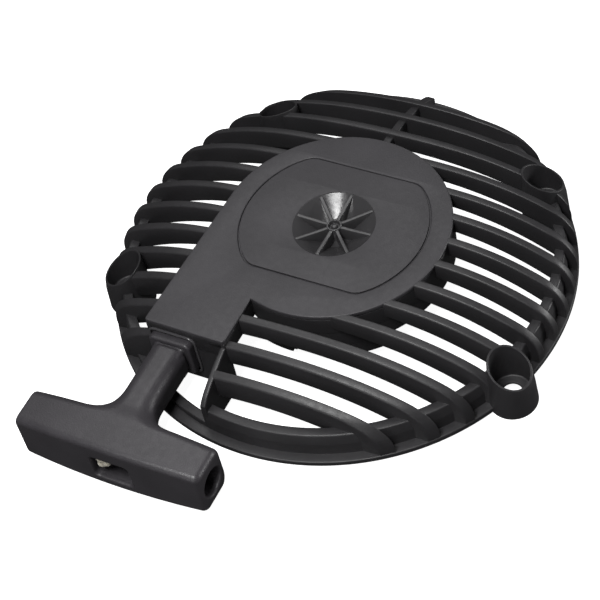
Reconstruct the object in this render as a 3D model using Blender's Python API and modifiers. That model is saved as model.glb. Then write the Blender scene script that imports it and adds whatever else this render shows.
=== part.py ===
"""Recoil starter for a small vertical-shaft engine.

The moulded housing is a slatted dome with a flat crown, a neck that ends in the handle's
mouth and four screw bosses on its rim.  Under the crown a rope pulley turns on the housing's
post, with a flat spiral spring above it and two pawls, their retainer and the centre screw
below.  The origin is on the crank axis, in the plane of the boss feet; +Z is up and the
rope is pulled towards -Y.
"""

import math

import bmesh
import bpy
from mathutils import Matrix

# ---------------------------------------------------------------- driving dimensions, in metres
GAP = 0.0003                # clearance between two meshes that touch
RUNNING_GAP = 0.0006        # clearance of a piece that turns in or on another
BURY = 0.0010               # how far joined shapes of one moulding run into each other
OVERRUN = 0.0100            # how far a cutter runs past what it cuts

RIM_RADIUS = 0.1000         # outer radius of the foot flange
RIM_WIDTH = 0.0080          # radial width of the foot flange
FLANGE_THICKNESS = 0.0032
RIM_LIFT = 0.0007           # the boss feet stand this far below the rim
WALL_SETBACK = 0.0042       # side panels stand this far inside the flange's edge
WALL_HEIGHT = 0.0150        # top of the side panels
WALL_THICKNESS = 0.0042     # at the top of the side panels
WALL_LEAN = 0.0012          # the panels lean in by this at their top
WALL_BREAK = 0.0093         # and start to lean at this height

CROWN_HEIGHT = 0.0335       # top face of the crown above the foot
CROWN_RADIUS = 0.0500
PLATE_THICKNESS = 0.0030
WELL_WALL = 0.0025          # wall that hangs from the crown's edge
WELL_FOOT = 0.0140          # height of its lower edge
SKIRT_FOOT = 0.0225         # lower edge of the neck's side walls
TAB_FOOT = 0.0070           # lower edge of the rope guard tabs
TAB_ANGLES = (-97.0, -50.0, 83.0, 130.0)
TAB_SPAN = 16.0             # degrees

DOME_START = 0.0450         # radius where the dome begins to fall
SHOULDER_BEND = 0.0180      # radius of the shoulder's arc
SHOULDER_HEIGHT = 0.00603   # height of that arc's centre

SLAT_PAIRS = 7
SLAT_PITCH = 0.01275
SLAT_THICKNESS = 0.0036
SLAT_DEPTH_INNER = 0.0086   # height of a slat beside the crown
SLAT_DEPTH_OUTER = 0.0128   # and beside the rim
SPINE_WIDTH = 0.0036        # rib that ties the rear slats together
SPINE_DROP = 0.0022         # its top under the slats' tops
SPINE_DEPTH = 0.0050
SAMPLE_GAP = 0.0020         # closest two points of a slat's top may lie

NECK_LEFT = -0.0525         # left side of the neck at its front
NECK_RIGHT = -0.0150
NECK_FRONT = -0.0720
NECK_CORNER = 0.0025
POCKET_LEFT = -0.0640       # the rim wall is open from here to the neck's right wall
POCKET_SILL = 0.0060        # height of the rim left under the handle
WINDOW_BACK = -0.0150       # the well is open to the mouth in front of this

BOSS_PLACES = ((0.0938, -0.0368), (-0.0830, -0.0425), (0.0680, 0.0610), (-0.0590, 0.0600))
BOSS_TOP_RADIUS = 0.0090
BOSS_FOOT_RADIUS = 0.0104
BOSS_HEIGHT = 0.0210        # on the boss's axis, where the dome is no higher
BOSS_SLANT = 30.0           # degrees, the top falls away from the crank axis
BOSS_WALL = 0.0011          # at its top and at its foot
BOSS_WEB = 0.0015           # thickness of what the screw head bears on
BOSS_WEB_TOP = 0.0062
SCREW_HOLE_RADIUS = 0.0041
COUNTERBORE_DRAFT = 0.0004

HUB_MOUTH_RADIUS = 0.0178   # ribbed funnel in the crown
HUB_THROAT_RADIUS = 0.0070
HUB_FLOOR = 0.0018          # left between the funnel and the spring's chamber
HUB_RIBS = 8
HUB_RIB_WIDTH = 0.0012
HUB_RIB_DROP = 0.0006       # tops of the ribs under the crown's face
HUB_BUTTON_RADIUS = 0.0032
HUB_BUTTON_DROP = 0.0012
ARBOR_RADIUS = 0.0203       # the spring winds on this
POST_RADIUS = 0.0080

ROPE_DIAMETER = 0.0040
ROPE_HEIGHT = 0.0175        # height of the rope where it leaves the housing
COIL_RADIUS = 0.0427        # outside of the rope wound on the pulley
COIL_DEPTH = 0.0102
PULLEY_RADIUS = 0.0458
GROOVE_WIDTH = 0.0086
PULLEY_FLANGE = 0.0016
COIL_SOFTNESS = 0.0012      # chamfer of the wound rope's outside
KNOT_DEPTH = 0.0015         # rope core left outside the inner knot's pocket
KNOT_BEARING = 60.0         # plan angle of that pocket, degrees
BUSH_WALL = 0.0016

SPRING_STRIP = 0.0007
SPRING_WIDTH = 0.0048
SPRING_TURNS = 6.5
CUP_RADIUS = 0.0382
CUP_SHEET = 0.0007
CUP_HOLE_RADIUS = 0.0126
TURN_STEPS = 22             # points in each turn of the flat spring

EYELET_BORE_RADIUS = 0.0026
EYELET_WALL = 0.0018
EYELET_FLANGE_RADIUS = 0.0068
EYELET_FLANGE = 0.0012
MOUTH_HALF_WIDTH = 0.0102
MOUTH_TOP = 0.0283
MOUTH_FOOT = 0.0075
MOUTH_DEPTH = 0.0050
MOUTH_CORNER = 0.0030
MOUTH_BLOCK_WALL = 0.0018
MOUTH_BACK_WALL = 0.0035

PAWL_PIVOT_RADIUS = 0.0190
PAWL_THICKNESS = 0.0046
PAWL_LENGTH = 0.0230
PAWL_WIDTH = 0.0076
PAWL_REST = 24.0            # plan angle of a folded pawl from the tangent, degrees
PAWL_SWING = 32.0           # degrees, retracted to engaged
PAWL_PIN_RADIUS = 0.0020
PIN_CHAMFER = 0.0004
PIN_SEAT = 0.0070           # length of a pin inside the pulley
PAWL_PEG_RADIUS = 0.0014
PAWL_PEG_REACH = 0.0090     # from the pivot
PAWL_PEG_LENGTH = 0.0030
RETAINER_RADIUS = 0.0265
RETAINER_THICKNESS = 0.0022
RETAINER_LAG = 36.0         # degrees the retainer hangs back while the pawls open

SCREW_RADIUS = 0.0029
SCREW_HEAD_RADIUS = 0.0068
SCREW_HEAD = 0.0026
SCREW_SOCKET_RADIUS = 0.0026
SCREW_SOCKET = 0.0018       # depth of the socket
SCREW_CHAMFER = 0.0006
SCREW_LENGTH = 0.0140       # thread and shank above the head
INSERT_WALL = 0.0018
INSERT_LENGTH = 0.0080
WASHER_THICKNESS = 0.0010
WASHER_RADIUS = 0.0122
BRAKE_WIRE = 0.0009
BRAKE_RADIUS = 0.0060
BRAKE_TURNS = 2.5

GRIP_LENGTH = 0.0860        # of the bar, along X
GRIP_DEPTH = 0.0212         # along Y
GRIP_FOOT = 0.0008
GRIP_TOP = 0.0272
GRIP_EDGE = 0.0045          # rounding of the bar's long edges
GRIP_CLEAR = 0.0115         # from the rim's foremost point back to the bar
STEM_WIDTH = 0.0160
STEM_TOP = 0.0262
STEM_FOOT = 0.0092
STEM_FILLET = 0.0120        # web between stem and bar
STEM_ROOT = 0.0040          # the stem runs into the bar by this
TIP_WIDTH = 0.0192
TIP_LENGTH = 0.0050
TIP_FLARE = 0.0006          # the tip stands proud of the stem by this, above and below
TIP_FRONT = -0.0705
GRIP_BORE_RADIUS = 0.0062
GRIP_BORE_DROP = 0.0010     # the bores lie this far under the bar's middle
GRIP_BORE_DEPTH = 0.0280
KNOT_SLOT_WIDTH = 0.0180
KNOT_SLOT_FOOT = 0.0060
KNOT_SLOT_TOP = 0.0190
KNOT_SLOT_DEPTH = 0.0100
KNOT_SLOT_CORNER = 0.0020
GRIP_ROPE_HOLE_RADIUS = 0.0027
KNOT_RADIUS = 0.0046
KNOT_OFFSET = 0.0025        # the handle's knot lies to this side of the rope

AROUND = 48                 # facets round a large turned piece
AROUND_RIM = 72
AROUND_BOSS = 20
AROUND_SMALL = 16

# ---------------------------------------------------------------- heights worked out from them
PLATE_UNDER = CROWN_HEIGHT - PLATE_THICKNESS
GROOVE_FOOT = ROPE_HEIGHT - GROOVE_WIDTH / 2
GROOVE_TOP = ROPE_HEIGHT + GROOVE_WIDTH / 2
PULLEY_TOP = GROOVE_TOP + PULLEY_FLANGE
PULLEY_FOOT = GROOVE_FOOT - PULLEY_FLANGE
COIL_CORE = COIL_RADIUS - COIL_DEPTH
ROPE_LINE = -(COIL_RADIUS - ROPE_DIAMETER / 2)      # X of the rope's straight run
CUP_FLOOR = PULLEY_TOP + GAP
SPRING_FOOT = CUP_FLOOR + CUP_SHEET + GAP
SPRING_TOP = SPRING_FOOT + SPRING_WIDTH
HUB_DEPTH = CROWN_HEIGHT - HUB_FLOOR - SPRING_FOOT
POST_FOOT = PULLEY_FOOT
PAWL_TOP = PULLEY_FOOT - GAP
PAWL_FOOT = PAWL_TOP - PAWL_THICKNESS
RETAINER_TOP = PAWL_FOOT - GAP
RETAINER_FOOT = RETAINER_TOP - RETAINER_THICKNESS
HEAD_TOP = RETAINER_FOOT - GAP
HEAD_FOOT = HEAD_TOP - SCREW_HEAD
BUSH_RADIUS = POST_RADIUS + RUNNING_GAP / 2 + BUSH_WALL
GRIP_BACK = -RIM_RADIUS - GRIP_CLEAR
GRIP_FRONT = GRIP_BACK - GRIP_DEPTH

PARTS = "recoil_starter"
GUIDES = "recoil_starter_cutters"


# ---------------------------------------------------------------- scene, collections, materials
def clear_scene():
    """Remove every object that the file opened with."""
    for item in list(bpy.data.objects):
        bpy.data.objects.remove(item, do_unlink=True)


def collection(name):
    """Return the collection of this name, linked to the scene."""
    group = bpy.data.collections.get(name)
    if group is None:
        group = bpy.data.collections.new(name)
        bpy.context.scene.collection.children.link(group)
    return group


def material(name, colour, roughness, metallic=0.0):
    """Return a Principled material, made once for each name."""
    found = bpy.data.materials.get(name)
    if found is not None:
        return found
    made = bpy.data.materials.new(name)
    made.use_nodes = True
    shader = made.node_tree.nodes["Principled BSDF"]
    shader.inputs["Base Color"].default_value = (*colour, 1.0)
    shader.inputs["Roughness"].default_value = roughness
    shader.inputs["Metallic"].default_value = metallic
    return made


def black_nylon():
    return material("black_nylon", (0.022, 0.022, 0.024), 0.50)


def grip_nylon():
    return material("grip_nylon", (0.030, 0.029, 0.031), 0.46)


def acetal():
    return material("acetal", (0.72, 0.71, 0.66), 0.42)


def spring_steel():
    return material("spring_steel", (0.34, 0.35, 0.37), 0.34, 1.0)


def zinc_steel():
    return material("zinc_steel", (0.62, 0.62, 0.60), 0.36, 1.0)


def brass():
    return material("brass", (0.78, 0.57, 0.26), 0.34, 1.0)


def sintered_bronze():
    return material("sintered_bronze", (0.42, 0.27, 0.14), 0.55, 1.0)


def braided_nylon():
    return material("braided_nylon", (0.66, 0.62, 0.54), 0.85)


# ---------------------------------------------------------------- shape makers
def place(mesh, name, group):
    """Link a mesh as a new object in one of the two collections."""
    thing = bpy.data.objects.new(name, mesh)
    collection(group).objects.link(thing)
    if group == GUIDES:
        thing.hide_render = True
        thing.display_type = "WIRE"
    return thing


def from_bmesh(shape, name, group):
    """Turn a bmesh into a linked object."""
    mesh = bpy.data.meshes.new(name)
    shape.to_mesh(mesh)
    shape.free()
    return place(mesh, name, group)


def box(name, low, high, group=GUIDES):
    """Axis-aligned box between two corners."""
    shape = bmesh.new()
    bmesh.ops.create_cube(shape, size=1.0)
    size = [high[i] - low[i] for i in range(3)]
    middle = [(high[i] + low[i]) / 2 for i in range(3)]
    bmesh.ops.transform(shape, matrix=Matrix.Translation(middle) @ Matrix.Diagonal((*size, 1.0)),
                        verts=shape.verts)
    return from_bmesh(shape, name, group)


def cone(name, centre, foot_radius, top_radius, foot, top, group=GUIDES, facets=AROUND_SMALL):
    """Upright cylinder or cone frustum between two heights."""
    shape = bmesh.new()
    bmesh.ops.create_cone(shape, cap_ends=True, segments=facets, radius1=foot_radius,
                          radius2=top_radius, depth=top - foot)
    spot = (centre[0], centre[1], (top + foot) / 2)
    bmesh.ops.transform(shape, matrix=Matrix.Translation(spot), verts=shape.verts)
    return from_bmesh(shape, name, group)


def bar_along(axis, name, centre, radius, length, group=GUIDES, facets=AROUND_SMALL):
    """Round bar along X or Y, centred on a point."""
    shape = bmesh.new()
    bmesh.ops.create_cone(shape, cap_ends=True, segments=facets, radius1=radius,
                          radius2=radius, depth=length)
    turn = Matrix.Rotation(math.pi / 2, 4, "Y" if axis == "X" else "X")
    bmesh.ops.transform(shape, matrix=Matrix.Translation(centre) @ turn, verts=shape.verts)
    return from_bmesh(shape, name, group)


def turned(name, profile, group=PARTS, facets=AROUND, closed=True):
    """Turn a profile of (radius, height) points round Z; its outer side runs downwards."""
    mesh = bpy.data.meshes.new(name)
    count = len(profile)
    edges = [(i, i + 1) for i in range(count - 1)]
    if closed:
        edges.append((count - 1, 0))
    mesh.from_pydata([(radius, 0.0, height) for radius, height in profile], edges, [])
    thing = place(mesh, name, group)
    screw = thing.modifiers.new("turn", "SCREW")
    screw.axis = "Z"
    screw.angle = math.tau
    screw.steps = facets
    screw.render_steps = facets
    screw.use_merge_vertices = True
    screw.merge_threshold = 0.00001
    return thing


def prism(name, outline, foot, top, group=GUIDES):
    """Extrude a closed plan outline of (x, y) points between two heights."""
    curve = bpy.data.curves.new(name, "CURVE")
    curve.dimensions = "2D"
    curve.fill_mode = "BOTH"
    curve.extrude = (top - foot) / 2
    line = curve.splines.new("POLY")
    line.points.add(len(outline) - 1)
    for point, (x, y) in zip(line.points, outline):
        point.co = (x, y, 0.0, 1.0)
    line.use_cyclic_u = True
    drawn = bpy.data.objects.new(name, curve)
    collection(group).objects.link(drawn)
    drawn.location = (0.0, 0.0, (foot + top) / 2)
    return as_mesh(drawn, name, group)


def as_mesh(drawn, name, group):
    """Replace a curve object by a closed mesh object with its place in the mesh."""
    bpy.context.view_layer.update()
    seen = drawn.evaluated_get(bpy.context.evaluated_depsgraph_get())
    mesh = bpy.data.meshes.new_from_object(seen)
    mesh.transform(drawn.matrix_world)
    bpy.data.objects.remove(drawn, do_unlink=True)
    shape = bmesh.new()
    shape.from_mesh(mesh)
    bpy.data.meshes.remove(mesh)
    bmesh.ops.remove_doubles(shape, verts=shape.verts, dist=0.000002)
    bmesh.ops.recalc_face_normals(shape, faces=shape.faces)
    return from_bmesh(shape, name, group)


def slab_across(name, outline, middle, thickness, group=GUIDES):
    """Extrude an upright (x, z) outline along Y about the plane y = middle."""
    slab = prism(name, outline, -thickness / 2, thickness / 2, group)
    slab.data.transform(Matrix.Translation((0.0, middle, 0.0)) @ Matrix.Rotation(math.pi / 2, 4, "X"))
    return slab


def slab_along(name, outline, start, end, group=GUIDES):
    """Extrude an upright (y, z) outline along X from start to end."""
    slab = prism(name, outline, start, end, group)
    cycle = Matrix(((0, 0, 1, 0), (1, 0, 0, 0), (0, 1, 0, 0), (0, 0, 0, 1)))
    slab.data.transform(cycle)
    return slab


def tube(name, points, diameter, group=PARTS, resolution=2):
    """Round wire or rope along a list of points, with filled ends."""
    curve = bpy.data.curves.new(name, "CURVE")
    curve.dimensions = "3D"
    curve.bevel_depth = diameter / 2
    curve.bevel_resolution = resolution
    curve.use_fill_caps = True
    line = curve.splines.new("POLY")
    line.points.add(len(points) - 1)
    for point, spot in zip(line.points, points):
        point.co = (*spot, 1.0)
    drawn = bpy.data.objects.new(name, curve)
    collection(group).objects.link(drawn)
    return drawn


def boolean(target, tool, operation):
    """Add one exact Boolean of another object."""
    step = target.modifiers.new(tool.name, "BOOLEAN")
    step.operation = operation
    step.solver = "EXACT"
    step.object = tool
    return step


def join(target, *tools):
    for tool in tools:
        boolean(target, tool, "UNION")


def cut(target, *tools):
    for tool in tools:
        boolean(target, tool, "DIFFERENCE")


def dress(thing, finish, angle=35.0):
    """Give a piece its material and smooth its round faces."""
    thing.data.materials.clear()
    thing.data.materials.append(finish)
    if thing.type == "MESH":
        thing.data.shade_smooth()
        thing.data.set_sharp_from_angle(angle=math.radians(angle))
    return thing


def arc(centre, radius, start, end, steps):
    """Points of a plan arc, angles in degrees, both ends included."""
    points = []
    for i in range(steps + 1):
        angle = math.radians(start + (end - start) * i / steps)
        points.append((centre[0] + radius * math.cos(angle), centre[1] + radius * math.sin(angle)))
    return points


def rounded_box_outline(low, high, corner, steps=4):
    """Outline of a rectangle with round corners."""
    (x0, y0), (x1, y1) = low, high
    return (arc((x1 - corner, y0 + corner), corner, -90, 0, steps)
            + arc((x1 - corner, y1 - corner), corner, 0, 90, steps)
            + arc((x0 + corner, y1 - corner), corner, 90, 180, steps)
            + arc((x0 + corner, y0 + corner), corner, 180, 270, steps))


def ribbon_outline(points, half_width):
    """Outline of a strip that follows a plan line, with square ends."""
    left, right = [], []
    last = len(points) - 1
    for i, (x, y) in enumerate(points):
        x0, y0 = points[max(i - 1, 0)]
        x1, y1 = points[min(i + 1, last)]
        length = math.hypot(x1 - x0, y1 - y0)
        nx, ny = -(y1 - y0) / length, (x1 - x0) / length
        left.append((x + nx * half_width, y + ny * half_width))
        right.append((x - nx * half_width, y - ny * half_width))
    return right + left[::-1]


def turn_plan(point, degrees, about=(0.0, 0.0)):
    """Turn a plan point about another."""
    angle = math.radians(degrees)
    x, y = point[0] - about[0], point[1] - about[1]
    return (about[0] + x * math.cos(angle) - y * math.sin(angle),
            about[1] + x * math.sin(angle) + y * math.cos(angle))


# ---------------------------------------------------------------- the dome
def shoulder_centre():
    """Radius and height of the centre of the shoulder's arc, which ends upright at the rim."""
    return RIM_RADIUS - SHOULDER_BEND, SHOULDER_HEIGHT


def dome_bend():
    """Radius of the dome's arc, which leaves the crown level and runs into the shoulder's arc."""
    across, up = shoulder_centre()
    reach, drop = across - DOME_START, CROWN_HEIGHT - up
    return (reach ** 2 + drop ** 2 - SHOULDER_BEND ** 2) / (2 * (drop - SHOULDER_BEND))


def dome_top(radius):
    """Height of the dome's outer skin at a radius."""
    if radius <= DOME_START:
        return CROWN_HEIGHT
    across, up = shoulder_centre()
    bend = dome_bend()
    meeting = DOME_START + (across - DOME_START) * bend / (bend - SHOULDER_BEND)
    if radius <= meeting:
        return CROWN_HEIGHT - bend + math.sqrt(bend ** 2 - (radius - DOME_START) ** 2)
    return up + math.sqrt(max(SHOULDER_BEND ** 2 - (radius - across) ** 2, 0.0))


def dome_under(radius):
    """Height of a slat's lower edge at a radius."""
    share = (radius - CROWN_RADIUS) / (RIM_RADIUS - RIM_WIDTH - CROWN_RADIUS)
    share = min(max(share, 0.0), 1.0)
    return dome_top(radius) - SLAT_DEPTH_INNER - share * (SLAT_DEPTH_OUTER - SLAT_DEPTH_INNER)


def dome_radii():
    """Radii that sample the skin: wide steps on the dome, fine ones round the shoulder."""
    across, _ = shoulder_centre()
    crown = [CROWN_RADIUS + (across - CROWN_RADIUS) * i / 3 for i in range(4)]
    shoulder = [across + SHOULDER_BEND * math.sin(math.radians(a)) for a in (30, 48, 62, 74, 84)]
    return crown + shoulder + [RIM_RADIUS]


def slat_outline(y, start, side, foot=None):
    """Upright outline of a slat from x = start out to the rim; side is +1 or -1."""
    rim_x = math.sqrt(RIM_RADIUS ** 2 - y ** 2)
    wall_x = math.sqrt((RIM_RADIUS - RIM_WIDTH + 2 * BURY) ** 2 - y ** 2)
    upper = [(start, dome_top(math.hypot(start, y)))]
    if start < 0.0:
        upper.append((0.0, dome_top(abs(y))))
    nearest = max(start, 0.0) + SAMPLE_GAP
    for radius in dome_radii():
        if radius > math.hypot(nearest, y):
            upper.append((math.sqrt(radius ** 2 - y ** 2), dome_top(radius)))
    seat = FLANGE_THICKNESS - BURY
    if foot is not None:
        lower = [(rim_x, seat), (start, foot)]
    else:
        steps = 4
        lower = [(rim_x, seat), (wall_x, seat)]
        for i in range(steps + 1):
            x = wall_x + (start - wall_x) * i / steps
            lower.append((x, dome_under(math.hypot(x, y))))
    return [(side * x, z) for x, z in upper + lower]


def full_slat_outline(y):
    """Upright outline of a slat that crosses the whole dome behind the crown."""
    right = slat_outline(y, 0.0, 1)
    left = slat_outline(y, 0.0, -1)
    return right + left[-2:0:-1]


def crown_outline(inset):
    """Plan outline of the crown and neck, moved inwards by inset."""
    radius = CROWN_RADIUS - inset
    right = NECK_RIGHT - inset
    front = NECK_FRONT + inset
    left_front = NECK_LEFT + inset
    corner = NECK_CORNER
    end = math.degrees(math.asin(right / radius)) - 90.0
    points = arc((0.0, 0.0), radius, end, 180.0, 44)
    points += arc((left_front + corner, front + corner), corner, 180, 270, 3)
    points += arc((right - corner, front + corner), corner, 270, 360, 3)
    return points


# ---------------------------------------------------------------- housing
def rim():
    """Foot flange and side panels, as one turned ring."""
    wall_out = RIM_RADIUS - WALL_SETBACK
    foot_in = RIM_RADIUS - RIM_WIDTH
    top_out = wall_out - WALL_LEAN
    top_in = top_out - WALL_THICKNESS
    return turned("housing", [
        (top_out, WALL_HEIGHT), (wall_out, WALL_BREAK), (wall_out, FLANGE_THICKNESS),
        (RIM_RADIUS, FLANGE_THICKNESS), (RIM_RADIUS, RIM_LIFT), (foot_in, RIM_LIFT),
        (top_in, WALL_HEIGHT - WALL_LEAN)], PARTS, AROUND_RIM)


def well():
    """Crown plate, neck and the walls that hang from their edge."""
    shell = prism("crown_shell", crown_outline(0.0), SKIRT_FOOT, CROWN_HEIGHT)
    cut(shell, prism("crown_hollow", crown_outline(WELL_WALL), SKIRT_FOOT - OVERRUN, PLATE_UNDER))
    outer, inner = CROWN_RADIUS - GAP, CROWN_RADIUS - WELL_WALL + GAP
    guard = turned("well_wall", [
        (outer, SKIRT_FOOT + BURY), (outer, WELL_FOOT), (inner, WELL_FOOT),
        (inner, SKIRT_FOOT + BURY)], GUIDES)
    cut(guard, box("rope_window", (-CROWN_RADIUS - OVERRUN, NECK_FRONT, 0.0),
                   (NECK_RIGHT - WELL_WALL, WINDOW_BACK, PLATE_UNDER)))
    tabs = [guard_tab(index, angle) for index, angle in enumerate(TAB_ANGLES)]
    return [shell, guard] + tabs


def guard_tab(index, angle):
    """One curved tab of the rope guard below the well's wall."""
    start, end = angle - TAB_SPAN / 2, angle + TAB_SPAN / 2
    outer = arc((0, 0), CROWN_RADIUS - 2 * GAP, start, end, 4)
    inner = arc((0, 0), CROWN_RADIUS - WELL_WALL + 2 * GAP, end, start, 4)
    return prism(f"guard_tab_{index}", outer + inner, TAB_FOOT, WELL_FOOT + BURY)


def slats():
    """Every slat of the dome, split where the crown, neck or pocket stands."""
    made = []
    for index in range(SLAT_PAIRS):
        for sign in (1, -1):
            y = sign * SLAT_PITCH * (index + 0.5)
            name = f"slat_{'rear' if sign > 0 else 'front'}_{index}"
            for piece, outline in slat_pieces(y):
                made.append(slab_across(f"{name}_{piece}", outline, y, SLAT_THICKNESS))
    return made


def slat_pieces(y):
    """Name and outline of each stretch of the slat at y."""
    crown_x = math.sqrt(max((CROWN_RADIUS - WELL_WALL / 2) ** 2 - y ** 2, 0.0))
    splay = (-NECK_LEFT - CROWN_RADIUS) * y / NECK_FRONT
    neck_left = CROWN_RADIUS + splay - WELL_WALL / 2
    neck_right = NECK_RIGHT - WELL_WALL / 2
    if y > CROWN_RADIUS:
        return [("whole", full_slat_outline(y))]
    if y > 0:
        return [("right", slat_outline(y, crown_x, 1)), ("left", slat_outline(y, crown_x, -1))]
    right_start = crown_x if crown_x > 0 else neck_right
    pieces = [("right", slat_outline(y, max(right_start, neck_right), 1))]
    if y - SLAT_PITCH < NECK_FRONT - SLAT_THICKNESS and y > NECK_FRONT - SLAT_THICKNESS:
        pieces.append(("left", slat_outline(y, neck_left, -1, FLANGE_THICKNESS - BURY)))
    elif y > NECK_FRONT:
        pieces.append(("left", slat_outline(y, neck_left, -1)))
    return pieces


def spine():
    """Rib on the centre line that ties the rear slats to the crown and the rim."""
    start = CROWN_RADIUS - WELL_WALL / 2
    end = RIM_RADIUS - WALL_SETBACK - BURY
    steps = 6
    radii = [start + (end - start) * i / steps for i in range(steps + 1)]
    upper = [(r, dome_top(r) - SPINE_DROP) for r in radii]
    lower = [(r, dome_top(r) - SPINE_DROP - SPINE_DEPTH) for r in reversed(radii)]
    return slab_along("spine", upper + lower, -SPINE_WIDTH / 2, SPINE_WIDTH / 2)


def pocket_walls():
    """Right wall of the handle's pocket and the front wall that holds the mouth."""
    x = NECK_RIGHT - WELL_WALL / 2
    start = -(NECK_FRONT + WELL_WALL / 2)
    end = math.sqrt((RIM_RADIUS - WALL_SETBACK) ** 2 - x ** 2)
    steps = 6
    distances = [start + (end - start) * i / steps for i in range(steps + 1)]
    upper = [(-d, dome_top(math.hypot(x, d))) for d in distances]
    lower = [(-end, FLANGE_THICKNESS - BURY), (-start, FLANGE_THICKNESS - BURY)]
    side = slab_along("pocket_side", upper + lower, x - WELL_WALL / 2, x + WELL_WALL / 2)
    low = FLANGE_THICKNESS - BURY + GAP
    front = box("pocket_front", (NECK_LEFT + GAP, NECK_FRONT + GAP, low),
                (NECK_RIGHT - GAP, NECK_FRONT + WELL_WALL, SKIRT_FOOT + BURY))
    block_half = MOUTH_HALF_WIDTH + MOUTH_BLOCK_WALL
    back = NECK_FRONT + MOUTH_DEPTH + MOUTH_BACK_WALL
    foot = MOUTH_FOOT - MOUTH_BLOCK_WALL
    block = box("mouth_block", (ROPE_LINE - block_half, NECK_FRONT + 2 * GAP, foot),
                (ROPE_LINE + block_half, back, PLATE_UNDER + BURY))
    return [side, front, block]


def mouth_cutters():
    """Recess for the handle's tip and the hole for the rope eyelet."""
    outline = rounded_box_outline((ROPE_LINE - MOUTH_HALF_WIDTH, MOUTH_FOOT),
                                  (ROPE_LINE + MOUTH_HALF_WIDTH, MOUTH_TOP), MOUTH_CORNER)
    recess = slab_across("mouth_recess", outline, NECK_FRONT, 2 * MOUTH_DEPTH)
    reach = MOUTH_DEPTH + MOUTH_BACK_WALL + OVERRUN
    hole = bar_along("Y", "eyelet_hole", (ROPE_LINE, NECK_FRONT + reach / 2, ROPE_HEIGHT),
                     EYELET_BORE_RADIUS + EYELET_WALL + GAP, reach)
    return [recess, hole]


def pocket_opening():
    """Space in front of the mouth, where the rim's panel is left out."""
    return box("pocket_space", (POCKET_LEFT, -RIM_RADIUS - OVERRUN, POCKET_SILL),
               (NECK_RIGHT - WELL_WALL / 2, NECK_FRONT - SLAT_THICKNESS / 4, CROWN_HEIGHT))


def boss(index, spot):
    """One screw boss, its top cut on a slant that falls away from the crank axis."""
    height = max(BOSS_HEIGHT, dome_top(math.hypot(*spot)))
    reach = BOSS_TOP_RADIUS * math.tan(math.radians(BOSS_SLANT))
    body = cone(f"boss_{index}", spot, BOSS_FOOT_RADIUS, BOSS_TOP_RADIUS, 0.0, height + reach,
                facets=AROUND_BOSS)
    half = 2 * BOSS_FOOT_RADIUS
    above = box(f"boss_slant_{index}", (-half, -half, 0.0), (half, half, 2 * half))
    outwards = Matrix.Rotation(math.atan2(spot[1], spot[0]), 4, "Z")
    slant = Matrix.Rotation(math.radians(BOSS_SLANT), 4, "Y")
    above.data.transform(Matrix.Translation((*spot, height)) @ outwards @ slant)
    cut(body, above)
    return body


def bosses():
    return [boss(index, spot) for index, spot in enumerate(BOSS_PLACES)]


def boss_cutters():
    """Counterbore, screw hole and hollow foot of each boss."""
    made = []
    for i, spot in enumerate(BOSS_PLACES):
        top, foot = BOSS_TOP_RADIUS - BOSS_WALL, BOSS_FOOT_RADIUS - BOSS_WALL
        made.append(cone(f"counterbore_{i}", spot, top - COUNTERBORE_DRAFT, top, BOSS_WEB_TOP,
                         CROWN_HEIGHT + OVERRUN, facets=AROUND_BOSS))
        made.append(cone(f"screw_hole_{i}", spot, SCREW_HOLE_RADIUS, SCREW_HOLE_RADIUS, -OVERRUN,
                         BOSS_WEB_TOP + OVERRUN))
        made.append(cone(f"boss_hollow_{i}", spot, foot, foot - COUNTERBORE_DRAFT, -OVERRUN,
                         BOSS_WEB_TOP - BOSS_WEB, facets=AROUND_BOSS))
    return made


def hub():
    """Arbor, post and hub floor, turned in one piece under the crown."""
    return turned("hub_body", [
        (0.0, PLATE_UNDER + BURY), (ARBOR_RADIUS, PLATE_UNDER + BURY), (ARBOR_RADIUS, SPRING_FOOT),
        (POST_RADIUS, SPRING_FOOT), (POST_RADIUS, POST_FOOT), (0.0, POST_FOOT)],
        GUIDES, 32, closed=False)


def hub_funnel():
    """Cutter for the funnel in the crown, with its ribs and button left standing."""
    floor = CROWN_HEIGHT - HUB_DEPTH
    slope = (HUB_MOUTH_RADIUS - HUB_THROAT_RADIUS) / HUB_DEPTH
    funnel = cone("hub_funnel", (0, 0), HUB_THROAT_RADIUS, HUB_MOUTH_RADIUS + slope * OVERRUN,
                  floor, CROWN_HEIGHT + OVERRUN, facets=32)
    reach = HUB_MOUTH_RADIUS + BURY
    for i in range(HUB_RIBS // 2):
        rib = box(f"hub_rib_{i}", (-reach, -HUB_RIB_WIDTH / 2, floor - BURY),
                  (reach, HUB_RIB_WIDTH / 2, CROWN_HEIGHT - HUB_RIB_DROP))
        rib.data.transform(Matrix.Rotation(math.tau * (i + 0.5) / HUB_RIBS, 4, "Z"))
        cut(funnel, rib)
    cut(funnel, cone("hub_button", (0, 0), HUB_BUTTON_RADIUS, HUB_BUTTON_RADIUS, floor - BURY,
                     CROWN_HEIGHT - HUB_BUTTON_DROP))
    return funnel


def insert_hole():
    """Hole in the post for the threaded insert and the end of the screw."""
    radius = SCREW_RADIUS + GAP + INSERT_WALL + GAP
    return cone("insert_hole", (0, 0), radius, radius, POST_FOOT - OVERRUN,
                POST_FOOT + INSERT_LENGTH + GAP)


def housing():
    """The whole housing: one black nylon moulding."""
    body = rim()
    cut(body, pocket_opening())
    join(body, *well(), hub(), *slats(), spine(), *pocket_walls(), *bosses())
    cut(body, hub_funnel(), insert_hole(), *mouth_cutters(), *boss_cutters())
    return dress(body, black_nylon())


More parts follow.
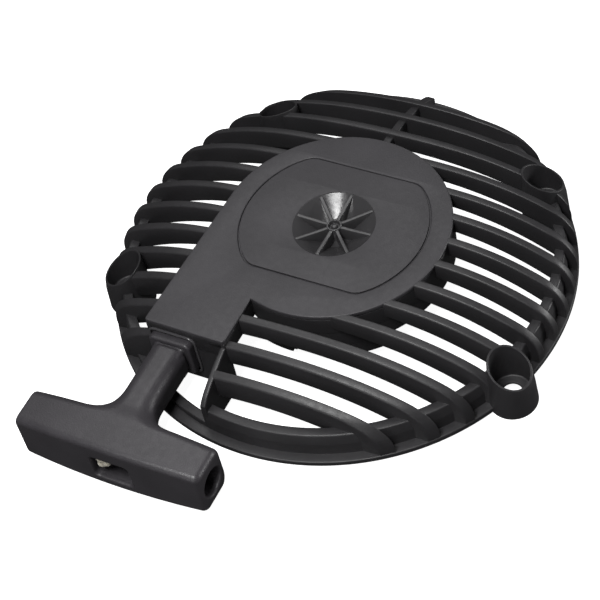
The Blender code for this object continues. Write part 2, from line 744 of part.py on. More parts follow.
# ---------------------------------------------------------------- pulley, spring and rope
def pulley():
    """Rope pulley with a bore for its bush and a pocket for the rope's inner knot."""
    core = COIL_CORE - GAP
    bore = BUSH_RADIUS + GAP
    body = turned("pulley", [
        (PULLEY_RADIUS, PULLEY_TOP), (PULLEY_RADIUS, GROOVE_TOP), (core, GROOVE_TOP),
        (core, GROOVE_FOOT), (PULLEY_RADIUS, GROOVE_FOOT), (PULLEY_RADIUS, PULLEY_FOOT),
        (bore, PULLEY_FOOT), (bore, PULLEY_TOP)])
    spot = knot_place()
    cut(body, cone("knot_pocket", spot, KNOT_RADIUS + GAP, KNOT_RADIUS + GAP,
                   ROPE_HEIGHT - KNOT_RADIUS, PULLEY_TOP + OVERRUN))
    for i in range(2):
        pin = turn_plan((PAWL_PIVOT_RADIUS, 0.0), 180.0 * i)
        cut(body, cone(f"pawl_pin_hole_{i}", pin, PAWL_PIN_RADIUS + GAP, PAWL_PIN_RADIUS + GAP,
                       PULLEY_FOOT - OVERRUN, pin_top() + GAP))
    return dress(body, black_nylon())


def knot_place():
    """Plan place of the rope's inner knot in the pulley."""
    return turn_plan((COIL_CORE - KNOT_RADIUS - KNOT_DEPTH, 0.0), KNOT_BEARING)


def pin_top():
    return PULLEY_FOOT + PIN_SEAT


def bush():
    """Bronze bush pressed into the pulley."""
    inner = POST_RADIUS + RUNNING_GAP / 2
    return dress(turned("pulley_bush", [
        (BUSH_RADIUS, PULLEY_TOP - GAP), (BUSH_RADIUS, PULLEY_FOOT + GAP),
        (inner, PULLEY_FOOT + GAP), (inner, PULLEY_TOP - GAP)], facets=32), sintered_bronze())


def spring_cup():
    """Pressed steel cup that holds the spring on top of the pulley."""
    inner = CUP_RADIUS - CUP_SHEET
    top = SPRING_TOP - GAP
    floor_top = CUP_FLOOR + CUP_SHEET
    return dress(turned("spring_cup", [
        (CUP_RADIUS, top), (CUP_RADIUS, CUP_FLOOR), (CUP_HOLE_RADIUS, CUP_FLOOR),
        (CUP_HOLE_RADIUS, floor_top), (inner, floor_top), (inner, top)]), zinc_steel())


def rewind_spring():
    """Flat spiral spring between the arbor and the cup."""
    start = ARBOR_RADIUS + GAP + SPRING_STRIP / 2
    end = CUP_RADIUS - CUP_SHEET - GAP - SPRING_STRIP / 2
    steps = int(SPRING_TURNS * TURN_STEPS)
    line = []
    for i in range(steps + 1):
        share = i / steps
        angle = math.tau * SPRING_TURNS * share
        radius = start + (end - start) * share
        line.append((radius * math.cos(angle), radius * math.sin(angle)))
    outline = ribbon_outline(line, SPRING_STRIP / 2)
    return dress(prism("rewind_spring", outline, SPRING_FOOT, SPRING_TOP, PARTS), spring_steel())


def rope_coil():
    """The rope wound on the pulley, as the ring that its turns fill."""
    low, high = GROOVE_FOOT + GAP, GROOVE_TOP - GAP
    shoulder = COIL_RADIUS - COIL_SOFTNESS
    return dress(turned("rope_coil", [
        (shoulder, high), (COIL_RADIUS, high - COIL_SOFTNESS), (COIL_RADIUS, low + COIL_SOFTNESS),
        (shoulder, low), (COIL_CORE, low), (COIL_CORE, high)]), braided_nylon())


def rope_start():
    """Y where the straight rope clears the wound coil."""
    inner_edge = -ROPE_LINE - ROPE_DIAMETER / 2 - GAP
    return -math.sqrt(COIL_RADIUS ** 2 - inner_edge ** 2) - GAP


def rope_lead():
    """Straight rope from the pulley through the eyelet and the stem to the handle's knot."""
    start = rope_start()
    end = grip_knot_place()[1] + KNOT_RADIUS + GAP
    steps = 8
    points = [(ROPE_LINE, start + (end - start) * i / steps, ROPE_HEIGHT) for i in range(steps + 1)]
    return dress(tube("rope_lead", points, ROPE_DIAMETER), braided_nylon())


def knot(name, spot):
    """A tight overhand knot, as a plain ball."""
    shape = bmesh.new()
    bmesh.ops.create_uvsphere(shape, u_segments=16, v_segments=10, radius=KNOT_RADIUS - GAP)
    bmesh.ops.transform(shape, matrix=Matrix.Translation(spot), verts=shape.verts)
    return dress(from_bmesh(shape, name, PARTS), braided_nylon())


def pulley_knot():
    x, y = knot_place()
    return knot("pulley_knot", (x, y, ROPE_HEIGHT + GAP))


def grip_knot_place():
    """Centre of the knot inside the handle's slot."""
    return (ROPE_LINE - KNOT_OFFSET, GRIP_FRONT + KNOT_SLOT_DEPTH - KNOT_RADIUS - GAP,
            KNOT_SLOT_TOP - KNOT_RADIUS - GAP)


def rope_eyelet():
    """Steel eyelet that guides the rope through the housing's front wall."""
    inner = EYELET_BORE_RADIUS
    outer = inner + EYELET_WALL
    length = MOUTH_BACK_WALL
    ring = turned("rope_eyelet", [
        (EYELET_FLANGE_RADIUS, GAP + EYELET_FLANGE), (EYELET_FLANGE_RADIUS, GAP), (outer, GAP),
        (outer, -length), (inner, -length), (inner, GAP + EYELET_FLANGE)], facets=32)
    face = Matrix.Translation((ROPE_LINE, NECK_FRONT + MOUTH_DEPTH, ROPE_HEIGHT))
    ring.matrix_world = face @ Matrix.Rotation(math.pi / 2, 4, "X")
    return dress(ring, zinc_steel())


# ---------------------------------------------------------------- pawls, retainer and screw
def pawl_outline():
    """Plan outline of a pawl, pivot at the origin and tip towards +Y."""
    half = PAWL_WIDTH / 2
    heel = arc((0.0, 0.0), half, 180, 360, 8)
    tip = [(half * 0.9, PAWL_LENGTH * 0.55), (half * 0.7, PAWL_LENGTH - half),
           (half * 0.1, PAWL_LENGTH - half * 0.4), (-half * 0.7, PAWL_LENGTH - half * 0.9),
           (-half, PAWL_LENGTH * 0.45)]
    return heel + tip


def pawl(index):
    """One pawl with its cam peg; the object's origin is on its pin."""
    name = "pawl_" + "ab"[index]
    body = prism(name, pawl_outline(), PAWL_FOOT, PAWL_TOP, PARTS)
    join(body, cone(f"{name}_peg", (0.0, PAWL_PEG_REACH), PAWL_PEG_RADIUS, PAWL_PEG_RADIUS,
                    PAWL_FOOT - PAWL_PEG_LENGTH + GAP, PAWL_FOOT + BURY, facets=12))
    cut(body, cone(f"{name}_bore", (0.0, 0.0), PAWL_PIN_RADIUS + GAP, PAWL_PIN_RADIUS + GAP,
                   PAWL_FOOT - OVERRUN, PAWL_TOP + OVERRUN, facets=20))
    side = 180.0 * index
    pivot = turn_plan((PAWL_PIVOT_RADIUS, 0.0), side)
    for piece in [body] + [step.object for step in body.modifiers]:
        piece.matrix_world = (Matrix.Translation((*pivot, 0.0))
                              @ Matrix.Rotation(math.radians(side + PAWL_REST), 4, "Z"))
    return dress(body, acetal())


def pawl_pin(index):
    """Steel pivot pin of a pawl, pressed into the pulley."""
    spot = turn_plan((PAWL_PIVOT_RADIUS, 0.0), 180.0 * index)
    radius = PAWL_PIN_RADIUS
    foot = PAWL_FOOT + GAP
    pin = turned("pawl_pin_" + "ab"[index], [
        (0.0, pin_top()), (radius, pin_top()), (radius, foot + PIN_CHAMFER),
        (radius - PIN_CHAMFER, foot), (0.0, foot)], facets=20, closed=False)
    pin.location = (*spot, 0.0)
    return dress(pin, zinc_steel())


def retainer():
    """Friction plate that holds the pawls up and steers their pegs through two slots."""
    bore = SCREW_RADIUS + RUNNING_GAP
    plate = turned("pawl_retainer", [
        (RETAINER_RADIUS, RETAINER_TOP), (RETAINER_RADIUS, RETAINER_FOOT),
        (bore, RETAINER_FOOT), (bore, RETAINER_TOP)], facets=48)
    for i in range(2):
        cut(plate, peg_slot(i))
    return dress(plate, acetal())


def peg_slot(index):
    """Cutter that clears a peg's path in the retainer while both turn."""
    pivot = (PAWL_PIVOT_RADIUS, 0.0)
    steps = 6
    path = []
    for i in range(-1, steps + 2):
        share = i / steps
        peg = turn_plan((pivot[0], PAWL_PEG_REACH), PAWL_REST - PAWL_SWING * share, pivot)
        path.append(turn_plan(peg, 180.0 * index + RETAINER_LAG * share))
    outline = ribbon_outline(path, PAWL_PEG_RADIUS + RUNNING_GAP)
    return prism(f"peg_slot_{index}", outline, RETAINER_FOOT - OVERRUN, RETAINER_TOP + OVERRUN)


def brake_spring():
    """Small coil spring that presses the retainer on to the screw's head."""
    low = RETAINER_TOP + GAP + BRAKE_WIRE / 2
    high = washer_foot() - GAP - BRAKE_WIRE / 2
    steps = int(BRAKE_TURNS * 14)
    points = []
    for i in range(steps + 1):
        share = i / steps
        angle = math.tau * BRAKE_TURNS * share
        points.append((BRAKE_RADIUS * math.cos(angle), BRAKE_RADIUS * math.sin(angle),
                       low + (high - low) * share))
    return dress(tube("brake_spring", points, BRAKE_WIRE, resolution=1), spring_steel())


def washer_foot():
    return POST_FOOT - GAP - WASHER_THICKNESS


def thrust_washer():
    """Washer under the post that keeps the pulley up."""
    bore = SCREW_RADIUS + GAP
    foot = washer_foot()
    return dress(turned("thrust_washer", [
        (WASHER_RADIUS, foot + WASHER_THICKNESS), (WASHER_RADIUS, foot), (bore, foot),
        (bore, foot + WASHER_THICKNESS)], facets=32), zinc_steel())


def centre_screw():
    """Screw that holds the starter's works to the post."""
    top = HEAD_TOP + SCREW_LENGTH
    screw = turned("centre_screw", [
        (0.0, top), (SCREW_RADIUS - SCREW_CHAMFER, top), (SCREW_RADIUS, top - SCREW_CHAMFER),
        (SCREW_RADIUS, HEAD_TOP), (SCREW_HEAD_RADIUS, HEAD_TOP),
        (SCREW_HEAD_RADIUS, HEAD_FOOT), (0.0, HEAD_FOOT)], facets=32, closed=False)
    cut(screw, cone("screw_socket", (0, 0), SCREW_SOCKET_RADIUS, SCREW_SOCKET_RADIUS,
                    HEAD_FOOT - OVERRUN, HEAD_FOOT + SCREW_SOCKET, facets=6))
    return dress(screw, zinc_steel())


def threaded_insert():
    """Brass insert moulded into the post."""
    inner = SCREW_RADIUS + GAP
    outer = inner + INSERT_WALL
    foot = POST_FOOT + GAP
    top = foot + INSERT_LENGTH - GAP
    return dress(turned("threaded_insert", [
        (outer, top), (outer, foot), (inner, foot), (inner, top)], facets=AROUND_SMALL), brass())


# ---------------------------------------------------------------- handle
def bar_outline():
    """Upright section of the handle's bar, as (y, z) points."""
    return rounded_box_outline((GRIP_FRONT, GRIP_FOOT), (GRIP_BACK, GRIP_TOP), GRIP_EDGE, 4)


def stem_outline():
    """Plan outline of the stem with its webs into the bar and its flared tip."""
    half = STEM_WIDTH / 2
    web_back = GRIP_BACK - STEM_ROOT
    turn_y = GRIP_BACK + STEM_FILLET
    right = [(half + STEM_FILLET, web_back)]
    right += [(half + STEM_FILLET - x, turn_y - y) for x, y in
              arc((0.0, 0.0), STEM_FILLET, 90, 0, 6)]
    right.append((half, TIP_FRONT - TIP_LENGTH + BURY))
    left = [(-x, y) for x, y in reversed(right)]
    return [(ROPE_LINE + x, y) for x, y in right + left]


def grip():
    """T-handle with its hollow ends, rope hole and knot slot."""
    middle = ROPE_LINE
    body = slab_along("handle_grip", bar_outline(), middle - GRIP_LENGTH / 2,
                      middle + GRIP_LENGTH / 2, PARTS)
    stem = prism("grip_stem", stem_outline(), STEM_FOOT, STEM_TOP)
    flare = rounded_box_outline((middle - TIP_WIDTH / 2, STEM_FOOT - TIP_FLARE),
                                (middle + TIP_WIDTH / 2, STEM_TOP + TIP_FLARE), MOUTH_CORNER)
    tip = slab_across("grip_tip", flare, TIP_FRONT - TIP_LENGTH / 2, TIP_LENGTH)
    join(body, stem, tip)
    centre_y = (GRIP_FRONT + GRIP_BACK) / 2
    centre_z = (GRIP_FOOT + GRIP_TOP) / 2 - GRIP_BORE_DROP
    for side in (-1, 1):
        spot = (middle + side * (GRIP_LENGTH / 2), centre_y, centre_z)
        cut(body, bar_along("X", f"grip_bore_{side}", spot, GRIP_BORE_RADIUS, 2 * GRIP_BORE_DEPTH))
    slot = rounded_box_outline((middle - KNOT_SLOT_WIDTH / 2, KNOT_SLOT_FOOT),
                               (middle + KNOT_SLOT_WIDTH / 2, KNOT_SLOT_TOP), KNOT_SLOT_CORNER, 2)
    cut(body, slab_across("knot_slot", slot, GRIP_FRONT, 2 * KNOT_SLOT_DEPTH))
    hole_end = TIP_FRONT + OVERRUN
    hole_start = GRIP_FRONT + KNOT_SLOT_DEPTH - BURY
    cut(body, bar_along("Y", "grip_rope_hole", (middle, (hole_end + hole_start) / 2, ROPE_HEIGHT),
                        GRIP_ROPE_HOLE_RADIUS, hole_end - hole_start, facets=16))
    return dress(body, grip_nylon())


def grip_knot():
    return knot("grip_knot", grip_knot_place())


# ---------------------------------------------------------------- the assembly
def build():
    clear_scene()
    collection(PARTS)
    collection(GUIDES)
    housing()
    rope_eyelet()
    threaded_insert()
    pulley()
    bush()
    spring_cup()
    rewind_spring()
    rope_coil()
    pulley_knot()
    for index in range(2):
        pawl(index)
        pawl_pin(index)
    retainer()
    brake_spring()
    thrust_washer()
    centre_screw()
    grip()
    grip_knot()
    rope_lead()


build()
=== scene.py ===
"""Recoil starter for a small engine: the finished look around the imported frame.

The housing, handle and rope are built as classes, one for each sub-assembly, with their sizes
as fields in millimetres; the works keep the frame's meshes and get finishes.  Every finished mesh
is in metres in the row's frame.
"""

import logging
import math
from dataclasses import dataclass, field
from enum import Enum
from typing import Callable, Iterable, Sequence

import bmesh
import bpy
import numpy as np
from mathutils import Matrix, Vector


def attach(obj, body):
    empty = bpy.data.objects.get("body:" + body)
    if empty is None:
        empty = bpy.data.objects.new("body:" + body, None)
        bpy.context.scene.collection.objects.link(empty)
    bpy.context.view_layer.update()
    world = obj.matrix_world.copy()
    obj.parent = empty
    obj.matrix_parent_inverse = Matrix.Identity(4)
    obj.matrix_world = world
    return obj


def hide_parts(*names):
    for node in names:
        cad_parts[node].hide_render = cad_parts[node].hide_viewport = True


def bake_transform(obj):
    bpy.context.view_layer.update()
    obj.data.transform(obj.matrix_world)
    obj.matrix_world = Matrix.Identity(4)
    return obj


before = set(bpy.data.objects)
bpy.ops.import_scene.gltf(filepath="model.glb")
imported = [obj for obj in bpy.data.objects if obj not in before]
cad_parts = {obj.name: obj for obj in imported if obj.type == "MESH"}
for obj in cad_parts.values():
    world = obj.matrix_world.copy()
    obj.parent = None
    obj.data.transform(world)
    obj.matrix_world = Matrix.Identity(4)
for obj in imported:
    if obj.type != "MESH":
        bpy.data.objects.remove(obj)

LOG = logging.getLogger("recoil_starter")
MM = 0.001                      # one millimetre in the frame's metres

Point2 = tuple[float, float]
Point3 = tuple[float, float, float]


class Body(Enum):
    """The rigid bodies that the new pieces ride on."""

    HOUSING = "housing"
    HANDLE = "handle"


class Slot(Enum):
    """The record's material slots of the new pieces."""

    BLACK = "black_nylon"
    GRIP = "grip_nylon"
    ROPE = "braided_nylon"


# ------------------------------------------------------------------------------ finishes
class Shader:
    """A small builder of shader trees that end in one Principled shader."""

    def __init__(self, name: str) -> None:
        """Make the material and keep its tree at hand.

        Args:
            name: Name of the new material.
        """
        self.material = bpy.data.materials.new(name)
        self.material.use_nodes = True
        self.tree = self.material.node_tree
        self.principled = self.tree.nodes["Principled BSDF"]
        self.coordinates = self.tree.nodes.new("ShaderNodeTexCoord").outputs["Object"]

    def node(self, kind: str, **values: object) -> bpy.types.Node:
        """Add a node and set its properties.

        Args:
            kind: Blender's name of the node type.
            values: Properties of the node, by name.

        Returns:
            The new node.
        """
        made = self.tree.nodes.new(kind)
        for key, value in values.items():
            setattr(made, key, value)
        return made

    def link(self, source: bpy.types.NodeSocket, target: bpy.types.NodeSocket) -> None:
        """Join two sockets."""
        self.tree.links.new(source, target)

    def stretched(self, scale: Point3) -> bpy.types.NodeSocket:
        """Return object coordinates scaled along each axis."""
        mapping = self.node("ShaderNodeMapping")
        mapping.inputs["Scale"].default_value = scale
        self.link(self.coordinates, mapping.inputs["Vector"])
        return mapping.outputs["Vector"]

    def noise(self, scale: float, detail: float, vector: bpy.types.NodeSocket | None = None,
              rough: float = 0.5) -> bpy.types.NodeSocket:
        """Add a noise texture.

        Args:
            scale: Waves to the metre.
            detail: Octaves.
            vector: Coordinates, or the object's own when left out.
            rough: Weight of the finer octaves.

        Returns:
            The texture's factor.
        """
        made = self.node("ShaderNodeTexNoise")
        made.inputs["Scale"].default_value = scale
        made.inputs["Detail"].default_value = detail
        made.inputs["Roughness"].default_value = rough
        self.link(vector or self.coordinates, made.inputs["Vector"])
        return made.outputs["Fac"]

    def cells(self, scale: float, vector: bpy.types.NodeSocket | None = None) -> bpy.types.NodeSocket:
        """Add rounded cells, as etched moulds leave them, and return their height."""
        made = self.node("ShaderNodeTexVoronoi", feature="SMOOTH_F1")
        made.inputs["Scale"].default_value = scale
        made.inputs["Smoothness"].default_value = 0.6
        self.link(vector or self.coordinates, made.inputs["Vector"])
        return made.outputs["Distance"]

    def spread(self, value: bpy.types.NodeSocket, low: float, high: float) -> bpy.types.NodeSocket:
        """Map a factor from its middle range to low and high."""
        made = self.node("ShaderNodeMapRange")
        made.inputs["From Min"].default_value = 0.3
        made.inputs["From Max"].default_value = 0.7
        made.inputs["To Min"].default_value = low
        made.inputs["To Max"].default_value = high
        self.link(value, made.inputs["Value"])
        return made.outputs["Result"]

    def blend(self, factor: bpy.types.NodeSocket, first: Point3, second: Point3) -> bpy.types.NodeSocket:
        """Mix two colours by a factor."""
        made = self.node("ShaderNodeMix", data_type="RGBA")
        made.inputs["A"].default_value = (*first, 1.0)
        made.inputs["B"].default_value = (*second, 1.0)
        self.link(factor, made.inputs["Factor"])
        return made.outputs["Result"]

    def bump(self, height: bpy.types.NodeSocket, depth: float, strength: float = 1.0,
             normal: bpy.types.NodeSocket | None = None) -> bpy.types.NodeSocket:
        """Turn a height into a normal; depth is in millimetres."""
        made = self.node("ShaderNodeBump")
        made.inputs["Distance"].default_value = depth * MM
        made.inputs["Strength"].default_value = strength
        self.link(height, made.inputs["Height"])
        if normal is not None:
            self.link(normal, made.inputs["Normal"])
        return made.outputs["Normal"]

    def finish(self, roughness: float | bpy.types.NodeSocket, metallic: float,
               colour: bpy.types.NodeSocket, normal: bpy.types.NodeSocket | None = None,
               **sockets: float) -> bpy.types.Material:
        """Fill the Principled shader and return the material.

        Args:
            roughness: A number, or a socket that varies.
            metallic: 0 or 1.
            colour: Socket of the base colour.
            normal: Socket of the bumped normal.
            sockets: Other Principled inputs, with underscores for spaces.

        Returns:
            The finished material.
        """
        inputs = self.principled.inputs
        if isinstance(roughness, float):
            inputs["Roughness"].default_value = roughness
        else:
            self.link(roughness, inputs["Roughness"])
        inputs["Metallic"].default_value = metallic
        self.link(colour, inputs["Base Color"])
        if normal is not None:
            self.link(normal, inputs["Normal"])
        for key, value in sockets.items():
            inputs[key.replace("_", " ")].default_value = value
        return self.material


@dataclass(frozen=True)
class MouldedPlastic:
    """Plastic from an etched mould: fine grain, faint flow clouds and a soft gloss."""

    name: str
    colour: Point3
    roughness: float = 0.48
    grain: float = 0.55         # millimetres between grains
    grain_depth: float = 0.035
    cloud: float = 0.16         # share by which the colour drifts

    def material(self) -> bpy.types.Material:
        """Return the material of this finish."""
        shader = Shader(self.name)
        drift = shader.noise(38.0, 3.0)
        light = tuple(c * (1.0 + self.cloud) for c in self.colour)
        dark = tuple(c * (1.0 - self.cloud) for c in self.colour)
        colour = shader.blend(shader.spread(drift, 0.0, 1.0), dark, light)
        gloss = shader.spread(shader.noise(420.0, 4.0), self.roughness - 0.05, self.roughness + 0.06)
        grain = shader.cells(1.0 / (self.grain * MM))
        soft = shader.bump(shader.noise(900.0, 2.0), 0.03, 0.5)
        return shader.finish(gloss, 0.0, colour, shader.bump(grain, self.grain_depth, 0.9, soft),
                             IOR=1.53)


@dataclass(frozen=True)
class PlatedSteel:
    """Bright zinc on steel, with faint streaks and duller specks."""

    name: str
    colour: Point3 = (0.60, 0.60, 0.58)
    roughness: float = 0.30

    def material(self) -> bpy.types.Material:
        """Return the material of this finish."""
        shader = Shader(self.name)
        specks = shader.noise(1500.0, 4.0)
        dull = tuple(c * 0.72 for c in self.colour)
        colour = shader.blend(shader.spread(specks, 0.0, 1.0), dull, self.colour)
        gloss = shader.spread(shader.noise(600.0, 5.0), self.roughness, self.roughness + 0.14)
        return shader.finish(gloss, 1.0, colour, shader.bump(specks, 0.012, 0.6))


@dataclass(frozen=True)
class DrawnSteel:
    """Spring steel drawn or rolled along its length, blued and oiled."""

    name: str
    colour: Point3 = (0.20, 0.22, 0.26)
    roughness: float = 0.28

    def material(self) -> bpy.types.Material:
        """Return the material of this finish."""
        shader = Shader(self.name)
        lines = shader.noise(1.0, 3.0, shader.stretched((260.0, 260.0, 5200.0)))
        warm = tuple(c * f for c, f in zip(self.colour, (1.45, 1.2, 0.95)))
        colour = shader.blend(shader.spread(shader.noise(90.0, 2.0), 0.0, 1.0), self.colour, warm)
        gloss = shader.spread(lines, self.roughness - 0.05, self.roughness + 0.12)
        return shader.finish(gloss, 1.0, colour, shader.bump(lines, 0.010, 0.7))


@dataclass(frozen=True)
class Sintered:
    """Bronze or brass with fine pores or turning marks."""

    name: str
    colour: Point3
    roughness: float
    pore: float                 # millimetres between pores

    def material(self) -> bpy.types.Material:
        """Return the material of this finish."""
        shader = Shader(self.name)
        pores = shader.cells(1.0 / (self.pore * MM))
        dark = tuple(c * 0.55 for c in self.colour)
        colour = shader.blend(shader.spread(shader.noise(700.0, 4.0), 0.0, 1.0), dark, self.colour)
        return shader.finish(self.roughness, 1.0, colour, shader.bump(pores, 0.02, 0.8))


@dataclass(frozen=True)
class BraidedRope:
    """Off-white braided cord with a darker fleck and oil in its grooves."""

    name: str
    colour: Point3 = (0.60, 0.57, 0.48)
    shade: Point3 = (0.30, 0.27, 0.21)

    def material(self) -> bpy.types.Material:
        """Return the material of this finish."""
        shader = Shader(self.name)
        fibre = shader.noise(1.0, 4.0, shader.stretched((5200.0, 1500.0, 5200.0)))
        grime = shader.noise(260.0, 3.0)
        colour = shader.blend(shader.spread(grime, 0.0, 1.0), self.colour, self.shade)
        return shader.finish(0.82, 0.0, colour, shader.bump(fibre, 0.05, 0.8), Sheen_Weight=0.3)


# The housing is one black moulding. These copies differ in grain and gloss as real finish, and in base
# colour as painted light: the crown and the hub are painted lighter for their lit faces, and the dome's
# slats, rim, walls and bosses are painted darker as shade.
CROWN_PAINTED_LIGHTER = MouldedPlastic("crown_black_painted_lighter", (0.040, 0.038, 0.042), 0.50, 0.60, 0.045)
DOME_PAINTED_DARKER = MouldedPlastic("dome_black_painted_darker", (0.026, 0.025, 0.027), 0.46, 0.70, 0.022)
HUB_PAINTED_LIGHTER = MouldedPlastic("hub_black_painted_lighter", (0.045, 0.044, 0.046), 0.20, 0.90, 0.004, 0.06)
# The lip is the same black plastic painted lighter still, as a painted highlight on its bead; its low
# roughness is real gloss.
LIP_PAINTED_HIGHLIGHT = MouldedPlastic("lip_black_painted_highlight", (0.060, 0.058, 0.062), 0.16, 0.90, 0.003, 0.06)
GRIP_BLACK = MouldedPlastic("grip_black", (0.043, 0.040, 0.045), 0.42, 0.62, 0.045)
WORKS_BLACK = MouldedPlastic("works_black", (0.020, 0.020, 0.021), 0.40, 0.80, 0.015)
ACETAL_WHITE = MouldedPlastic("acetal_white", (0.70, 0.68, 0.62), 0.36, 0.90, 0.012, 0.05)
ZINC = PlatedSteel("zinc_bright")
BLUED = DrawnSteel("blued_strip")
BRONZE = Sintered("oiled_bronze", (0.42, 0.27, 0.14), 0.48, 0.35)
BRASS = Sintered("turned_brass", (0.78, 0.57, 0.26), 0.30, 0.60)
ROPE = BraidedRope("cord_natural")


# ------------------------------------------------------------------------------ mesh tools
def place(name: str, mesh: bpy.types.Mesh) -> bpy.types.Object:
    """Link a mesh as a new object of the scene."""
    thing = bpy.data.objects.new(name, mesh)
    bpy.context.scene.collection.objects.link(thing)
    return thing


def from_lists(name: str, points: Iterable[Sequence[float]],
               faces: Iterable[Sequence[int]]) -> bpy.types.Object:
    """Make an object from points in millimetres and faces, with its doubles merged.

    Args:
        name: Name of the object.
        points: Corners in millimetres.
        faces: Corner numbers of each face.

    Returns:
        The object, in metres, with its faces turned outwards.
    """
    mesh = bpy.data.meshes.new(name)
    mesh.from_pydata([tuple(float(c) * MM for c in p) for p in points], [], [tuple(f) for f in faces])
    shape = bmesh.new()
    shape.from_mesh(mesh)
    bmesh.ops.remove_doubles(shape, verts=shape.verts, dist=0.000001)
    bmesh.ops.dissolve_degenerate(shape, edges=shape.edges, dist=0.0000005)
    bmesh.ops.recalc_face_normals(shape, faces=shape.faces)
    shape.to_mesh(mesh)
    shape.free()
    return place(name, mesh)


def settle(thing: bpy.types.Object, name: str | None = None) -> bpy.types.Object:
    """Turn an object with modifiers, or a curve, into one plain mesh at the origin.

    Args:
        thing: The object, which is removed.
        name: Name of the plain object, or the old one's when left out.

    Returns:
        The plain object.
    """
    bpy.context.view_layer.update()
    seen = thing.evaluated_get(bpy.context.evaluated_depsgraph_get())
    mesh = bpy.data.meshes.new_from_object(seen)
    mesh.transform(thing.matrix_world)
    kept = name or thing.name
    bpy.data.objects.remove(thing, do_unlink=True)
    made = place(kept, mesh)
    made.name = kept
    return made


def fuse(name: str, things: Sequence[bpy.types.Object]) -> bpy.types.Object:
    """Join plain objects into one, keeping their place."""
    shape = bmesh.new()
    for thing in things:
        part = thing.data.copy()
        part.transform(thing.matrix_world)
        shape.from_mesh(part)
        bpy.data.meshes.remove(part)
        bpy.data.objects.remove(thing, do_unlink=True)
    mesh = bpy.data.meshes.new(name)
    shape.to_mesh(mesh)
    shape.free()
    return place(name, mesh)


def fillet(points: Sequence[Point2], radii: float | Sequence[float], closed: bool = True,
           steps: int = 4) -> list[Point2]:
    """Round the corners of a flat line.

    Args:
        points: Corners in order.
        radii: One radius for all corners, or one for each.
        closed: Whether the last corner joins the first.
        steps: Pieces in each round.

    Returns:
        The rounded line.
    """
    count = len(points)
    wanted = [float(radii)] * count if isinstance(radii, (int, float)) else list(radii)
    rounded: list[Point2] = []
    for i, corner in enumerate(points):
        ends = not closed and i in (0, count - 1)
        here = Vector(corner)
        before = Vector(points[i - 1]) - here
        after = Vector(points[(i + 1) % count]) - here
        if ends or wanted[i] <= 0.0 or before.length < 1e-6 or after.length < 1e-6:
            rounded.append(tuple(here))
            continue
        bend = before.angle(after)
        reach = wanted[i] / max(math.tan(bend / 2), 1e-3)
        reach = min(reach, before.length * 0.49, after.length * 0.49)
        first = here + before.normalized() * reach
        last = here + after.normalized() * reach
        for k in range(steps + 1):
            t = k / steps
            spot = first * (1 - t) ** 2 + here * 2 * t * (1 - t) + last * t ** 2
            rounded.append(tuple(spot))
    return rounded


def arc(centre: Point2, radius: float, start: float, end: float, steps: int) -> list[Point2]:
    """Points of a flat arc; angles in degrees, both ends included."""
    angles = np.radians(np.linspace(start, end, steps + 1))
    return [(centre[0] + radius * math.cos(a), centre[1] + radius * math.sin(a)) for a in angles]


def ring(name: str, profile: Sequence[Point2], segments: int, centre: Point2 = (0.0, 0.0),
         start: float = 0.0, end: float = 360.0) -> bpy.types.Object:
    """Turn a closed (radius, height) profile about an upright axis.

    Args:
        name: Name of the object.
        profile: Closed line of (radius, height) in millimetres.
        segments: Facets over the whole sweep.
        centre: Plan place of the axis.
        start: First angle in degrees.
        end: Last angle in degrees; 360 past the start closes the ring.

    Returns:
        The object.
    """
    whole = abs(end - start - 360.0) < 1e-6
    rows = segments if whole else segments + 1
    count = len(profile)
    points = []
    for i in range(rows):
        angle = math.radians(start + (end - start) * i / segments)
        for radius, height in profile:
            points.append((centre[0] + radius * math.cos(angle),
                           centre[1] + radius * math.sin(angle), height))
    faces = []
    for i in range(segments):
        a, b = i * count, ((i + 1) % rows) * count
        for k in range(count):
            n = (k + 1) % count
            faces.append((a + k, b + k, b + n, a + n))
    if not whole:
        faces.append(tuple(range(count)))
        faces.append(tuple((rows - 1) * count + k for k in range(count)))
    return from_lists(name, points, faces)


def loft(name: str, rows: Sequence[Sequence[Point3]], capped: bool = True) -> bpy.types.Object:
    """Skin a row of closed loops that have the same number of points."""
    count = len(rows[0])
    points = [p for row in rows for p in row]
    faces = []
    for i in range(len(rows) - 1):
        a, b = i * count, (i + 1) * count
        for k in range(count):
            n = (k + 1) % count
            faces.append((a + k, b + k, b + n, a + n))
    if capped:
        faces.append(tuple(range(count)))
        faces.append(tuple((len(rows) - 1) * count + k for k in range(count)))
    return from_lists(name, points, faces)


def plate(name: str, outlines: Sequence[Sequence[Point2]], low: float, high: float,
          edge: float, steps: int = 3) -> bpy.types.Object:
    """Make a flat plate with rounded edges from an outline and its holes.

    Args:
        name: Name of the object.
        outlines: The outer line, then one line for each hole, in millimetres.
        low: Height of the lower face.
        high: Height of the upper face.
        edge: Radius of the rounded edges.
        steps: Pieces in each round.

    Returns:
        The plain object.
    """
    curve = bpy.data.curves.new(name, "CURVE")
    curve.dimensions = "2D"
    curve.fill_mode = "BOTH"
    curve.extrude = ((high - low) / 2 - edge) * MM
    curve.bevel_depth = edge * MM
    curve.bevel_resolution = steps
    curve.offset = -edge * MM
    for outline in outlines:
        line = curve.splines.new("POLY")
        line.points.add(len(outline) - 1)
        for point, (x, y) in zip(line.points, outline):
            point.co = (x * MM, y * MM, 0.0, 1.0)
        line.use_cyclic_u = True
    drawn = bpy.data.objects.new(name, curve)
    bpy.context.scene.collection.objects.link(drawn)
    drawn.location = (0.0, 0.0, (low + high) / 2 * MM)
    thing = settle(drawn)
    shape = bmesh.new()
    shape.from_mesh(thing.data)
    bmesh.ops.remove_doubles(shape, verts=shape.verts, dist=0.000002)
    bmesh.ops.recalc_face_normals(shape, faces=shape.faces)
    shape.to_mesh(thing.data)
    shape.free()
    return thing


